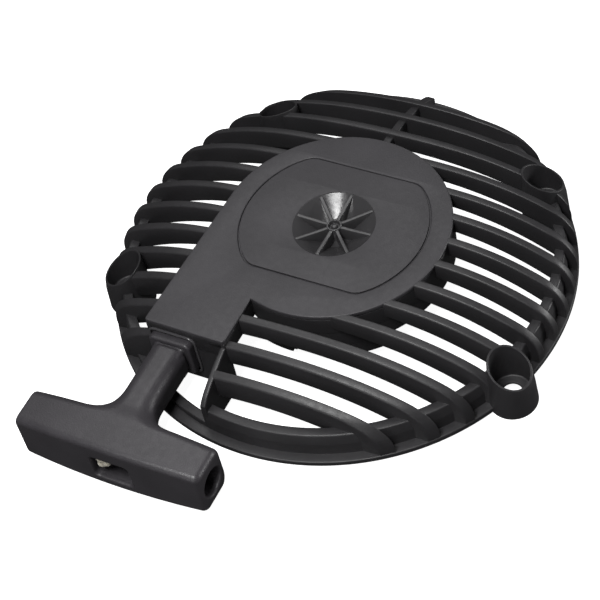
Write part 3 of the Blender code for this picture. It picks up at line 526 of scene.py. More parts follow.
def wire(name: str, points: Sequence[Point3], radius: float, closed: bool = False,
         facets: int = 4) -> bpy.types.Object:
    """Round wire along points in millimetres, as a plain mesh."""
    curve = bpy.data.curves.new(name, "CURVE")
    curve.dimensions = "3D"
    curve.bevel_depth = radius * MM
    curve.bevel_resolution = facets
    curve.use_fill_caps = not closed
    line = curve.splines.new("POLY")
    line.points.add(len(points) - 1)
    for point, spot in zip(line.points, points):
        point.co = (*(c * MM for c in spot), 1.0)
    line.use_cyclic_u = closed
    drawn = bpy.data.objects.new(name, curve)
    bpy.context.scene.collection.objects.link(drawn)
    return settle(drawn)


def smooth(thing: bpy.types.Object, angle: float = 32.0) -> bpy.types.Object:
    """Shade a piece smooth, with edges sharper than the angle kept."""
    thing.data.shade_smooth()
    thing.data.set_sharp_from_angle(angle=math.radians(angle))
    return thing


def turn(thing: bpy.types.Object, matrix: Matrix) -> bpy.types.Object:
    """Apply a move to the mesh itself."""
    thing.data.transform(matrix)
    return thing


def dress(thing: bpy.types.Object, finish: bpy.types.Material, body: Body,
          nodes: Sequence[str] = ()) -> bpy.types.Object:
    """Give a finished piece its material and body, and hide the nodes it stands for.

    Args:
        thing: The finished piece.
        finish: Its material.
        body: The body that it rides on.
        nodes: Frame nodes that it replaces.

    Returns:
        The same piece.
    """
    thing.data.materials.clear()
    thing.data.materials.append(finish)
    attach(thing, body.value)
    if nodes:
        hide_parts(*nodes)
    LOG.info("%s rides on %s, %d faces", thing.name, body.value, len(thing.data.polygons))
    return thing


def surface_nets(name: str, distance: Callable[[np.ndarray, np.ndarray, np.ndarray], np.ndarray],
                 low: Point3, high: Point3, step: float) -> bpy.types.Object:
    """Skin the zero level of a signed distance in millimetres.

    Args:
        name: Name of the object.
        distance: Distance at arrays of x, y and z, negative inside.
        low: Lowest corner of the sampled box.
        high: Highest corner.
        step: Spacing of the samples.

    Returns:
        The plain object, as quads.
    """
    axes = [np.arange(a, b + step, step) for a, b in zip(low, high)]
    x, y, z = np.meshgrid(*axes, indexing="ij")
    value = distance(x, y, z).astype(np.float32)
    inside = value < 0.0
    shape = tuple(n - 1 for n in value.shape)
    total = np.zeros((*shape, 3))
    count = np.zeros(shape)
    offsets = [(i, j, k) for i in (0, 1) for j in (0, 1) for k in (0, 1)]
    for a in offsets:
        for axis in range(3):
            if a[axis]:
                continue
            b = tuple(1 if n == axis else a[n] for n in range(3))
            first = value[tuple(slice(a[n], a[n] + shape[n]) for n in range(3))]
            last = value[tuple(slice(b[n], b[n] + shape[n]) for n in range(3))]
            cross = (first < 0.0) != (last < 0.0)
            span = np.where(cross, first - last, 1.0)
            share = np.where(cross, first / span, 0.0)
            for n in range(3):
                total[..., n] += np.where(cross, a[n] + (share if n == axis else 0.0), 0.0)
            count += cross
    held = count > 0
    number = np.full(shape, -1, dtype=np.int64)
    number[held] = np.arange(int(held.sum()))
    cell = np.argwhere(held)
    points = (cell + total[held] / count[held][:, None]) * step + np.array(low)
    faces = []
    for axis in range(3):
        u, v = [n for n in range(3) if n != axis]
        core = [slice(1, -1)] * 3
        core[axis] = slice(0, -1)
        ahead = list(core)
        ahead[axis] = slice(1, None)
        here, there = inside[tuple(core)], inside[tuple(ahead)]
        edges = np.argwhere(here != there)
        flip = here[tuple(edges.T)] if axis != 1 else ~here[tuple(edges.T)]
        base = edges.copy()
        base[:, u] += 1
        base[:, v] += 1
        corners = []
        for du, dv in ((-1, -1), (0, -1), (0, 0), (-1, 0)):
            spot = base.copy()
            spot[:, u] += du
            spot[:, v] += dv
            corners.append(number[tuple(spot.T)])
        quad = np.stack(corners, axis=1)
        quad[~flip] = quad[~flip][:, ::-1]
        faces.append(quad)
    mesh = bpy.data.meshes.new(name)
    mesh.from_pydata((points * MM).tolist(), [], np.concatenate(faces).tolist())
    mesh.validate()
    return place(name, mesh)


# ------------------------------------------------------------------------------ housing
@dataclass
class DomeLine:
    """The line of the dome's skin from the crown to the rim, in millimetres."""

    height: float = 33.5        # of the crown's face
    crown_radius: float = 50.0
    rim_radius: float = 100.0
    flat_to: float = 45.0       # the skin starts to fall here
    bend: float = 95.0
    shoulder: float = 18.0
    slat_deep_inner: float = 8.4
    slat_deep_outer: float = 12.6
    wall_inner: float = 91.6
    seat: float = 2.4

    def top(self, radius: float) -> float:
        """Height of the outer skin at a radius."""
        if radius <= self.flat_to:
            return self.height
        across = self.rim_radius - self.shoulder
        reach = self.bend - self.shoulder
        rise = math.sqrt(reach ** 2 - (across - self.flat_to) ** 2)
        meeting = self.flat_to + (across - self.flat_to) * self.bend / reach
        if radius <= meeting:
            return self.height - self.bend + math.sqrt(self.bend ** 2 - (radius - self.flat_to) ** 2)
        return (self.height - self.bend + rise
                + math.sqrt(max(self.shoulder ** 2 - (radius - across) ** 2, 0.0)))

    def under(self, radius: float) -> float:
        """Height of a slat's lower edge at a radius."""
        if radius > self.wall_inner:
            return self.seat
        span = self.wall_inner - self.crown_radius
        share = min(max((radius - self.crown_radius) / span, 0.0), 1.0)
        depth = self.slat_deep_inner + share * (self.slat_deep_outer - self.slat_deep_inner)
        return self.top(radius) - depth


@dataclass
class Slat:
    """One stretch of a slat: where it lies, starts and ends."""

    y: float
    side: float                 # +1 towards +X, -1 towards -X
    start_radius: float         # 0 when it starts at start_x
    start_sign: float
    start_x: float


@dataclass
class Grille:
    """The slats of the dome, laid out by a node tree from one point for each slat."""

    dome: DomeLine
    pairs: int = 7
    pitch: float = 12.6
    slope: float = 0.022        # how far a slat runs back for each unit to the right
    thickness: float = 3.6
    corner: float = 0.75
    core: float = 3.2           # height of the swept section before it is stretched
    end_radius: float = 99.7
    steps: int = 64
    bury: float = 1.4
    neck_left: float = -50.0
    neck_front_left: float = -52.5
    neck_right: float = -15.0
    neck_front: float = -72.0

    def slats(self) -> list[Slat]:
        """Every stretch of slat of the dome."""
        crown = self.dome.crown_radius - self.bury
        made = []
        for index in range(self.pairs):
            y = self.pitch * (index + 0.5)
            if y > self.dome.crown_radius:
                made.append(Slat(y, 1.0, self.end_radius, -1.0, 0.0))
                made.append(Slat(-y, 1.0, 0.0, 0.0, self.neck_right - self.bury))
            else:
                made += [Slat(y, side, crown, side, 0.0) for side in (1.0, -1.0)]
                made.append(Slat(-y, 1.0, crown, 1.0, 0.0))
            if -y > self.neck_front:
                splay = (self.neck_front_left - self.neck_left) * -y / self.neck_front
                made.append(Slat(-y, -1.0, 0.0, 0.0, self.neck_left + splay + self.bury))
        return made

    def seeds(self) -> bpy.types.Object:
        """A loose point for each stretch, with its numbers as attributes."""
        slats = self.slats()
        mesh = bpy.data.meshes.new("housing_slats")
        mesh.from_pydata([(0.0, 0.0, 0.0)] * len(slats), [], [])
        for key in ("y", "side", "start_radius", "start_sign", "start_x"):
            scale = 1.0 if key in ("side", "start_sign") else MM
            layer = mesh.attributes.new(f"slat_{key}", "FLOAT", "POINT")
            layer.data.foreach_set("value", [getattr(s, key) * scale for s in slats])
        return place("housing_slats", mesh)

    def build(self, finish: bpy.types.Material) -> bpy.types.Object:
        """Build the slats as one plain mesh."""
        seeds = self.seeds()
        tree = SlatTree(self, finish).tree
        step = seeds.modifiers.new("slats", "NODES")
        step.node_group = tree
        return smooth(settle(seeds), 38.0)


class SlatTree:
    """Node tree that grows a slat from each seed point and bends it to the dome."""

    def __init__(self, grille: Grille, finish: bpy.types.Material) -> None:
        """Build the tree for one grille.

        Args:
            grille: Sizes of the slats.
            finish: Their material.
        """
        self.tree = bpy.data.node_groups.new("slat_field", "GeometryNodeTree")
        face = self.tree.interface
        face.new_socket("Geometry", in_out="INPUT", socket_type="NodeSocketGeometry")
        for name, value in (("Thickness", grille.thickness), ("Core", grille.core),
                            ("Corner", grille.corner), ("End Radius", grille.end_radius)):
            socket = face.new_socket(name, in_out="INPUT", socket_type="NodeSocketFloat")
            socket.default_value = value * MM
        steps = face.new_socket("Steps", in_out="INPUT", socket_type="NodeSocketInt")
        steps.default_value = grille.steps
        face.new_socket("Geometry", in_out="OUTPUT", socket_type="NodeSocketGeometry")
        self.given = self.add("NodeGroupInput")
        self.grille = grille
        beam = self.beam()
        on_points = self.add("GeometryNodeInstanceOnPoints")
        self.wire(self.given.outputs["Geometry"], on_points.inputs["Points"])
        self.wire(beam, on_points.inputs["Instance"])
        realize = self.add("GeometryNodeRealizeInstances")
        self.wire(on_points.outputs["Instances"], realize.inputs["Geometry"])
        moved = self.add("GeometryNodeSetPosition")
        self.wire(realize.outputs["Geometry"], moved.inputs["Geometry"])
        self.wire(self.bent(), moved.inputs["Position"])
        painted = self.add("GeometryNodeSetMaterial")
        painted.inputs["Material"].default_value = finish
        self.wire(moved.outputs["Geometry"], painted.inputs["Geometry"])
        out = self.add("NodeGroupOutput")
        self.wire(painted.outputs["Geometry"], out.inputs["Geometry"])

    def add(self, kind: str, **values: object) -> bpy.types.Node:
        """Add a node with its properties set."""
        made = self.tree.nodes.new(kind)
        for key, value in values.items():
            setattr(made, key, value)
        return made

    def wire(self, source: bpy.types.NodeSocket, target: bpy.types.NodeSocket) -> None:
        """Join two sockets."""
        self.tree.links.new(source, target)

    def math(self, operation: str, *values: float | bpy.types.NodeSocket) -> bpy.types.NodeSocket:
        """Add a math node on numbers or sockets and return its result."""
        made = self.add("ShaderNodeMath", operation=operation)
        for socket, value in zip(made.inputs, values):
            if isinstance(value, (int, float)):
                socket.default_value = value
            else:
                self.wire(value, socket)
        return made.outputs["Value"]

    def named(self, name: str, kind: str = "FLOAT") -> bpy.types.NodeSocket:
        """Read a named attribute."""
        made = self.add("GeometryNodeInputNamedAttribute", data_type=kind)
        made.inputs["Name"].default_value = name
        return made.outputs["Attribute"]

    def stored(self, geometry: bpy.types.NodeSocket, name: str, kind: str,
               value: bpy.types.NodeSocket) -> bpy.types.NodeSocket:
        """Store a named attribute on each point."""
        made = self.add("GeometryNodeStoreNamedAttribute", data_type=kind, domain="POINT")
        made.inputs["Name"].default_value = name
        self.wire(geometry, made.inputs["Geometry"])
        self.wire(value, made.inputs["Value"])
        return made.outputs["Geometry"]

    def beam(self) -> bpy.types.NodeSocket:
        """A straight beam one metre long that remembers its section and its length."""
        rail = self.add("GeometryNodeCurvePrimitiveLine")
        rail.inputs["End"].default_value = (1.0, 0.0, 0.0)
        fine = self.add("GeometryNodeResampleCurve")
        self.wire(rail.outputs["Curve"], fine.inputs["Curve"])
        self.wire(self.given.outputs["Steps"], fine.inputs["Count"])
        along = self.add("GeometryNodeSplineParameter").outputs["Factor"]
        rail_out = self.stored(fine.outputs["Curve"], "along", "FLOAT", along)
        section = self.add("GeometryNodeCurvePrimitiveQuadrilateral")
        self.wire(self.given.outputs["Thickness"], section.inputs["Width"])
        self.wire(self.given.outputs["Core"], section.inputs["Height"])
        round_off = self.add("GeometryNodeFilletCurve")
        for socket in round_off.inputs:
            if socket.name == "Mode":
                socket.default_value = "Poly"
            elif socket.name == "Count":
                socket.default_value = 3
        if hasattr(round_off, "mode"):
            round_off.mode = "POLY"
        self.wire(self.given.outputs["Corner"], round_off.inputs["Radius"])
        self.wire(section.outputs["Curve"], round_off.inputs["Curve"])
        place_of = self.add("GeometryNodeInputPosition").outputs["Position"]
        section_out = self.stored(round_off.outputs["Curve"], "section", "FLOAT_VECTOR", place_of)
        sweep = self.add("GeometryNodeCurveToMesh")
        sweep.inputs["Fill Caps"].default_value = True
        self.wire(rail_out, sweep.inputs["Curve"])
        self.wire(section_out, sweep.inputs["Profile Curve"])
        return sweep.outputs["Mesh"]

    def line(self, reading: Callable[[float], float], radius: bpy.types.NodeSocket) -> bpy.types.NodeSocket:
        """A curve node that reads a height from a radius.

        Args:
            reading: Height in millimetres at a radius in millimetres.
            radius: The radius, in metres.

        Returns:
            The height, in metres.
        """
        reach, tall = 102.0, 40.0       # the curve's own scales
        dome = self.grille.dome
        step = [dome.wall_inner - 0.05, dome.wall_inner + 0.05]
        made = self.add("ShaderNodeFloatCurve")
        curve = made.mapping.curves[0]
        spots = sorted(set([0.0, 30.0, dome.flat_to] + list(np.linspace(48.0, 88.0, 14))
                           + list(np.linspace(89.0, dome.rim_radius, 14)) + step + [reach]))
        while len(curve.points) < len(spots):
            curve.points.new(0.5, 0.5)
        for point, spot in zip(curve.points, spots):
            point.location = (spot / reach, reading(min(spot, dome.rim_radius)) / tall)
            point.handle_type = "VECTOR"
        made.mapping.update()
        self.wire(self.math("DIVIDE", radius, reach * MM), made.inputs["Value"])
        return self.math("MULTIPLY", made.outputs["Value"], tall * MM)

    def bent(self) -> bpy.types.NodeSocket:
        """Where each point of the straight beams goes on the dome."""
        section = self.add("ShaderNodeSeparateXYZ")
        self.wire(self.named("section", "FLOAT_VECTOR"), section.inputs["Vector"])
        level = self.math("ADD", self.named("slat_y"), section.outputs["X"])
        slope = self.grille.slope

        def chord(radius: bpy.types.NodeSocket, y: bpy.types.NodeSocket) -> bpy.types.NodeSocket:
            """Half chord of a circle at a y."""
            gap = self.math("SUBTRACT", self.math("MULTIPLY", radius, radius),
                            self.math("MULTIPLY", y, y))
            return self.math("SQRT", self.math("MAXIMUM", gap, 0.0))

        def reach(radius: bpy.types.NodeSocket, sign: bpy.types.NodeSocket) -> bpy.types.NodeSocket:
            """Where the sloping line of the slat meets a circle."""
            first = self.math("MULTIPLY", sign, chord(radius, level))
            return self.math("MULTIPLY", sign,
                             chord(radius, self.math("MULTIPLY_ADD", first, slope, level)))

        start = self.math("ADD", self.named("slat_start_x"),
                          reach(self.named("slat_start_radius"), self.named("slat_start_sign")))
        end = reach(self.given.outputs["End Radius"], self.named("slat_side"))
        turn_share = self.math("COSINE", self.math("MULTIPLY", self.named("along"), math.pi))
        eased = self.math("MULTIPLY_ADD", turn_share, -0.5, 0.5)
        x = self.math("MULTIPLY_ADD", self.math("SUBTRACT", end, start), eased, start)
        y = self.math("MULTIPLY_ADD", x, slope, level)
        radius = self.math("SQRT", self.math("MULTIPLY_ADD", x, x, self.math("MULTIPLY", y, y)))
        half = self.math("MULTIPLY", self.given.outputs["Core"], 0.5)
        top = self.math("ADD", self.line(self.grille.dome.top, radius),
                        self.math("SUBTRACT", section.outputs["Y"], half))
        under = self.math("ADD", self.line(self.grille.dome.under, radius),
                          self.math("ADD", section.outputs["Y"], half))
        upper = self.math("GREATER_THAN", section.outputs["Y"], 0.0)
        z = self.math("MULTIPLY_ADD", self.math("SUBTRACT", top, under), upper, under)
        joined = self.add("ShaderNodeCombineXYZ")
        for name, value in (("X", x), ("Y", y), ("Z", z)):
            self.wire(value, joined.inputs[name])
        return joined.outputs["Vector"]


@dataclass
class Housing:
    """The moulded housing: rim, grille, crown, hub, bosses and the handle's pocket."""

    dome: DomeLine = field(default_factory=DomeLine)
    neck_left: float = -52.5
    neck_right: float = -15.0
    neck_front: float = -72.0
    neck_corner: float = 1.6
    wall: float = 2.5
    skirt_foot: float = 22.5
    plate_under: float = 30.5
    well_foot: float = 14.0
    tab_foot: float = 7.0
    tab_span: float = 16.0          # degrees
    tab_steps: int = 3
    tab_angles: tuple[float, ...] = (-97.0, -50.0, 83.0, 130.0)
    panel_radius: float = 40.5
    panel_flat: float = 31.5
    panel_gap: float = 0.62
    panel_depth: float = 0.9
    hub_radius: float = 17.8
    hub_throat: float = 7.0
    hub_floor: float = 26.4
    hub_ribs: int = 8
    pocket_left: float = -132.4     # degrees, end of the rim's side panels
    pocket_right: float = -99.8
    sill: float = 6.0
    bosses: tuple[Point2, ...] = ((93.8, -36.8), (-83.0, -42.5), (68.0, 61.0), (-59.0, 60.0))
    boss_height: float = 20.9       # on the boss's axis, where the dome is no higher
    boss_slant: float = 30.0        # degrees
    boss_upright: float = 12.0      # below this height the slant doesn't reach
    boss_radius: float = 8.3        # of the space kept clear inside a boss
    rope_x: float = -40.7
    rope_z: float = 17.5
    eyelet_hole: float = 4.7
    mouth_half: float = 10.2        # of the recess's width
    mouth_top: float = 28.3
    mouth_low: float = 7.5
    mouth_rim: float = 1.6          # of the sleeve round the recess

    def build(self) -> None:
        """Build and dress every piece of the housing."""
        # The crown and the hub get lighter copies of the black as painted light, and the dome gets a darker
        # copy as painted shade.
        crown = CROWN_PAINTED_LIGHTER.material()
        dome = DOME_PAINTED_DARKER.material()
        grille = self.bored(Grille(self.dome).build(dome))
        dress(grille, dome, Body.HOUSING, ["housing"])
        dress(self.rim(), dome, Body.HOUSING)
        dress(self.crown(), crown, Body.HOUSING)
        dress(self.well(), dome, Body.HOUSING)
        dress(self.hub(), HUB_PAINTED_LIGHTER.material(), Body.HOUSING)
        dress(self.pocket(), dome, Body.HOUSING)
        wall, lip = self.mouth()
        dress(wall, dome, Body.HOUSING)
        # The lip's lighter colour is a painted highlight.
        dress(lip, LIP_PAINTED_HIGHLIGHT.material(), Body.HOUSING)
        dress(self.boss_set(), dome, Body.HOUSING)

    def bored(self, thing: bpy.types.Object) -> bpy.types.Object:
        """Clear the bosses' counterbores out of a piece that runs into them."""
        name = thing.name
        low, high = -2.0, 60.0
        clear = [(0.0, low), (self.boss_radius, low), (self.boss_radius, high), (0.0, high)]
        cutter = fuse("well_cuts", [ring("well_cut", clear, 48, centre=spot) for spot in self.bosses])
        step = thing.modifiers.new("wells", "BOOLEAN")
        step.operation, step.solver, step.object = "DIFFERENCE", "EXACT", cutter
        cleared = settle(thing, name)
        bpy.data.objects.remove(cutter, do_unlink=True)
        return smooth(cleared, 38.0)

    def rim(self) -> bpy.types.Object:
        """Foot flange all round, and the side panels outside the pocket."""
        flange = fillet([(91.9, 0.7), (100.0, 0.7), (100.0, 3.2), (95.0, 3.4), (91.7, 3.4)],
                        [0.3, 0.5, 0.6, 0.0, 0.0])
        panel = fillet([(91.8, 2.6), (95.8, 2.6), (95.8, 9.3), (94.7, 14.2), (90.4, 14.0)],
                       [0.0, 0.0, 2.0, 0.9, 0.5])
        low = fillet([(91.8, 2.6), (95.8, 2.6), (95.6, self.sill), (91.4, self.sill)],
                     [0.0, 0.0, 0.7, 0.5])
        turned = 360.0 + self.pocket_left
        parts = [ring("flange", flange, 240),
                 ring("panel", panel, 220, start=self.pocket_right, end=turned),
                 ring("sill", low, 30, start=self.pocket_left - 0.4, end=self.pocket_right + 0.4)]
        return smooth(fuse("housing_rim", [self.bored(part) for part in parts]), 30.0)

    def outline(self, inset: float) -> list[Point2]:
        """Plan outline of the crown and neck, moved inwards."""
        radius = self.dome.crown_radius - inset
        right = self.neck_right - inset
        turned = math.degrees(math.asin(right / radius)) - 90.0
        line = arc((0.0, 0.0), radius, turned, 180.0, 96)
        corner = fillet([(-radius, 0.0), (self.neck_left + inset, self.neck_front + inset),
                         (right, self.neck_front + inset), line[0]],
                        self.neck_corner, closed=False)
        return line + corner[1:-1]

    def panel_line(self, grow: float) -> list[Point2]:
        """Outline of the inlaid panel: a circle cut by two flats."""
        radius, flat = self.panel_radius + grow, self.panel_flat + grow
        angle = math.degrees(math.asin(flat / radius))
        steps, corner = 40, 9.0
        right = arc((0.0, 0.0), radius, -angle, angle, steps)
        left = arc((0.0, 0.0), radius, 180.0 - angle, 180.0 + angle, steps)
        line = right + left
        starts, ends = (0, steps + 1), (steps, 2 * steps + 1)
        radii = [0.0] * len(line)
        for i in starts + ends:
            radii[i] = corner
        # the corners need room, so the arcs' end points next to them are dropped
        crowded = {i + k for i in starts for k in (1, 2, 3)} | {i - k for i in ends for k in (1, 2, 3)}
        keep = [i for i in range(len(line)) if i not in crowded]
        return fillet([line[i] for i in keep], [radii[i] for i in keep], steps=8)

    def crown(self) -> bpy.types.Object:
        """Top plate with its inlaid panel, the groove round it and the skirt below."""
        top = self.dome.height
        hub = arc((0.0, 0.0), self.hub_radius, 0.0, 360.0, 96)[:-1]
        outer = plate("crown_outer", [self.outline(0.0), self.panel_line(self.panel_gap / 2)],
                      top - 2.2, top, 0.55)
        inner = plate("crown_panel", [self.panel_line(-self.panel_gap / 2), hub], top - 1.6, top, 0.14)
        under = plate("crown_under", [self.outline(0.25), hub], self.plate_under,
                      top - self.panel_depth, 0.1)
        return smooth(fuse("housing_crown", [outer, inner, under]), 30.0)

    def well(self) -> bpy.types.Object:
        """Walls that hang below the crown: neck skirt, rope well, guard tabs and spine."""
        skirt = plate("skirt", [self.outline(0.15), self.outline(self.wall)], self.skirt_foot,
                      self.plate_under + 0.6, 0.3)
        outer, inner = self.dome.crown_radius - 0.3, self.dome.crown_radius - self.wall + 0.3
        wall_top = self.skirt_foot + 1.0
        wall = fillet([(inner, self.well_foot), (outer, self.well_foot),
                       (outer, wall_top), (inner, wall_top)], [0.5, 0.5, 0.0, 0.0])
        parts = [skirt, ring("well", wall, 150, start=-107.0, end=197.0)]
        for angle in self.tab_angles:
            for step in range(self.tab_steps):
                parts.append(self.tab(inner + 0.1, outer - 0.1, angle, step))
        parts.append(self.spine())
        return smooth(fuse("housing_well", parts), 30.0)

    def tab(self, inner: float, outer: float, angle: float, step: int) -> bpy.types.Object:
        """One step of a guard tab; each is shorter and wider than the one before.

        Args:
            inner: Radius of its inner face.
            outer: Radius of its outer face.
            angle: Middle of the tab in degrees.
            step: Number of the step, 0 for the deepest.

        Returns:
            The plain object.
        """
        foot, top = self.tab_foot + 2.0 * step, self.well_foot + 1.0
        half = self.tab_span / 2 + 2.5 * step
        section = fillet([(inner, foot), (outer, foot), (outer, top), (inner, top)], [0.4, 0.4, 0.0, 0.0])
        return ring("tab", section, 8, start=angle - half, end=angle + half)

    def spine(self) -> bpy.types.Object:
        """Rib on the centre line that ties the rear slats together."""
        rows = []
        for radius in np.linspace(48.5, 94.8, 24):
            top = self.dome.top(radius) - 2.2
            section = fillet([(-1.8, top - 5.0), (1.8, top - 5.0), (1.8, top), (-1.8, top)], 0.6)
            rows.append([(x, radius, z) for x, z in section])
        return loft("spine", rows)

    def hub(self) -> bpy.types.Object:
        """Ribbed funnel in the crown with the button at its centre."""
        top, floor = self.dome.height, self.hub_floor
        edge, throat = self.hub_radius, self.hub_throat
        funnel = fillet([(edge - 0.1, top - 0.25), (throat, floor), (0.0, floor), (0.0, floor - 1.0),
                         (throat + 0.3, floor - 1.0), (edge + 1.2, top - 1.4), (edge + 1.2, top - 0.25)],
                        [0.4, 1.6, 0.0, 0.0, 0.6, 0.3, 0.1])
        parts = [ring("funnel", funnel, 128)]
        section = fillet([(-0.95, 0.0), (0.95, 0.0), (0.7, 1.0), (-0.7, 1.0)], [0.0, 0.0, 0.3, 0.3])
        for index in range(self.hub_ribs):
            angle = math.tau * index / self.hub_ribs
            rows = []
            for radius in np.linspace(2.6, edge - 0.15, 10):
                share = (radius - throat) / (edge - throat)
                low = floor - 0.4 + max(share, 0.0) * (top - floor - 0.4)
                high = top - 0.55 - 0.5 * (1.0 - max(share, 0.0))
                row = []
                for offset, rise in section:
                    height = low if rise < 0.5 else high - (1.0 - rise) * 1.0
                    row.append((radius * math.cos(angle) - offset * math.sin(angle),
                                radius * math.sin(angle) + offset * math.cos(angle), height))
                rows.append(row)
            parts.append(loft("rib", rows))
        button = fillet([(0.0, floor - 0.5), (3.3, floor - 0.5), (3.3, top - 0.7), (2.5, top - 0.7),
                         (2.2, top - 2.2), (1.6, top - 2.4), (1.1, top - 1.3), (0.0, top - 1.1)],
                        [0.0, 0.0, 0.35, 0.3, 0.2, 0.2, 0.5, 0.0])
        parts.append(ring("button", button, 48))
        return smooth(fuse("housing_hub", parts), 30.0)

    def pocket(self) -> bpy.types.Object:
        """Wall along the right side of the handle's pocket, from the neck to the rim."""
        half = self.wall / 2
        x = self.neck_right - half
        rows = []
        for depth in np.linspace(-self.neck_front - 1.0, 94.2, 20):
            top = self.dome.top(math.hypot(x, depth)) + 0.02
            section = fillet([(x - half, 2.4), (x + half, 2.4), (x + half, top), (x - half, top)],
                             [0.0, 0.0, 0.8, 0.8])
            rows.append([(px, -depth, z) for px, z in section])
        return smooth(loft("housing_pocket", rows), 30.0)

    def mouth(self) -> tuple[bpy.types.Object, bpy.types.Object]:
        """Front wall of the neck with the recess for the handle's tip, and its lip, whose lighter colour is
        a painted highlight.
        """
        half, low, top = self.mouth_half, self.mouth_low, self.mouth_top
        recess = fillet(self.frame_line(half, low, top), 3.0, steps=6)
        left, right = self.neck_left + 0.2, self.neck_right - 0.2
        front = fillet([(left, 2.6), (right, 2.6), (right, 31.5), (left, 31.5)], 0.3)
        wall = self.stand(plate("mouth_wall", [front, recess], -1.2, 1.2, 0.25), 1.35)
        bead = fillet(self.frame_line(half + 0.5, low, top + 0.5), 3.4, steps=6)
        lip = wire("mouth_lip", [(x, self.neck_front - 0.1, z) for x, z in bead], 0.6, closed=True)
        shell = fillet(self.frame_line(half + self.mouth_rim, low - self.mouth_rim, 31.0), 1.0)
        sleeve = self.stand(plate("mouth_sleeve", [shell, recess], -3.0, 3.0, 0.2), 4.6)
        hole = arc((self.rope_x, self.rope_z), self.eyelet_hole, 0.0, 360.0, 32)[:-1]
        back = self.stand(plate("mouth_back", [shell, hole], -1.6, 1.6, 0.2), 6.8)
        return smooth(fuse("housing_mouth", [wall, sleeve, back]), 30.0), smooth(lip, 60.0)

    def frame_line(self, half: float, low: float, top: float) -> list[Point2]:
        """Corners of an upright rectangle centred on the rope."""
        left, right = self.rope_x - half, self.rope_x + half
        return [(left, low), (right, low), (right, top), (left, top)]

    def stand(self, thing: bpy.types.Object, depth: float) -> bpy.types.Object:
        """Stand a flat plate up across the neck, a depth behind its front."""
        there = Matrix.Translation((0.0, (self.neck_front + depth) * MM, 0.0))
        return turn(thing, there @ Matrix.Rotation(math.pi / 2, 4, "X"))

    def boss_set(self) -> bpy.types.Object:
        """The four screw bosses, each a tube with a web for the screw and a slanted mouth."""
        return smooth(fuse("housing_bosses", [self.boss(spot) for spot in self.bosses]), 30.0)

    def boss(self, spot: Point2) -> bpy.types.Object:
        """One screw boss.

        Args:
            spot: Plan place of its axis.

        Returns:
            The plain object.
        """
        reach = math.hypot(*spot)
        height = max(self.boss_height, self.dome.top(reach) - 0.1)
        outwards = Vector((spot[0] / reach, spot[1] / reach))
        fall = math.tan(math.radians(self.boss_slant))
        profile = fillet([(9.3, 0.05), (10.3, 0.05), (9.7, 11.0), (8.9, height), (8.1, height),
                          (7.9, 6.1), (4.1, 6.1), (4.1, 4.8), (9.1, 4.8)],
                         [0.25, 0.4, 0.0, 0.3, 0.25, 0.8, 0.3, 0.3, 0.6])
        body = ring("boss", profile, 96, centre=spot)
        for vertex in body.data.vertices:
            x, y, z = vertex.co / MM
            if z > self.boss_upright:
                away = (x - spot[0]) * outwards.x + (y - spot[1]) * outwards.y
                share = (z - self.boss_upright) / (height - self.boss_upright)
                vertex.co.z -= away * fall * share * MM
        return body


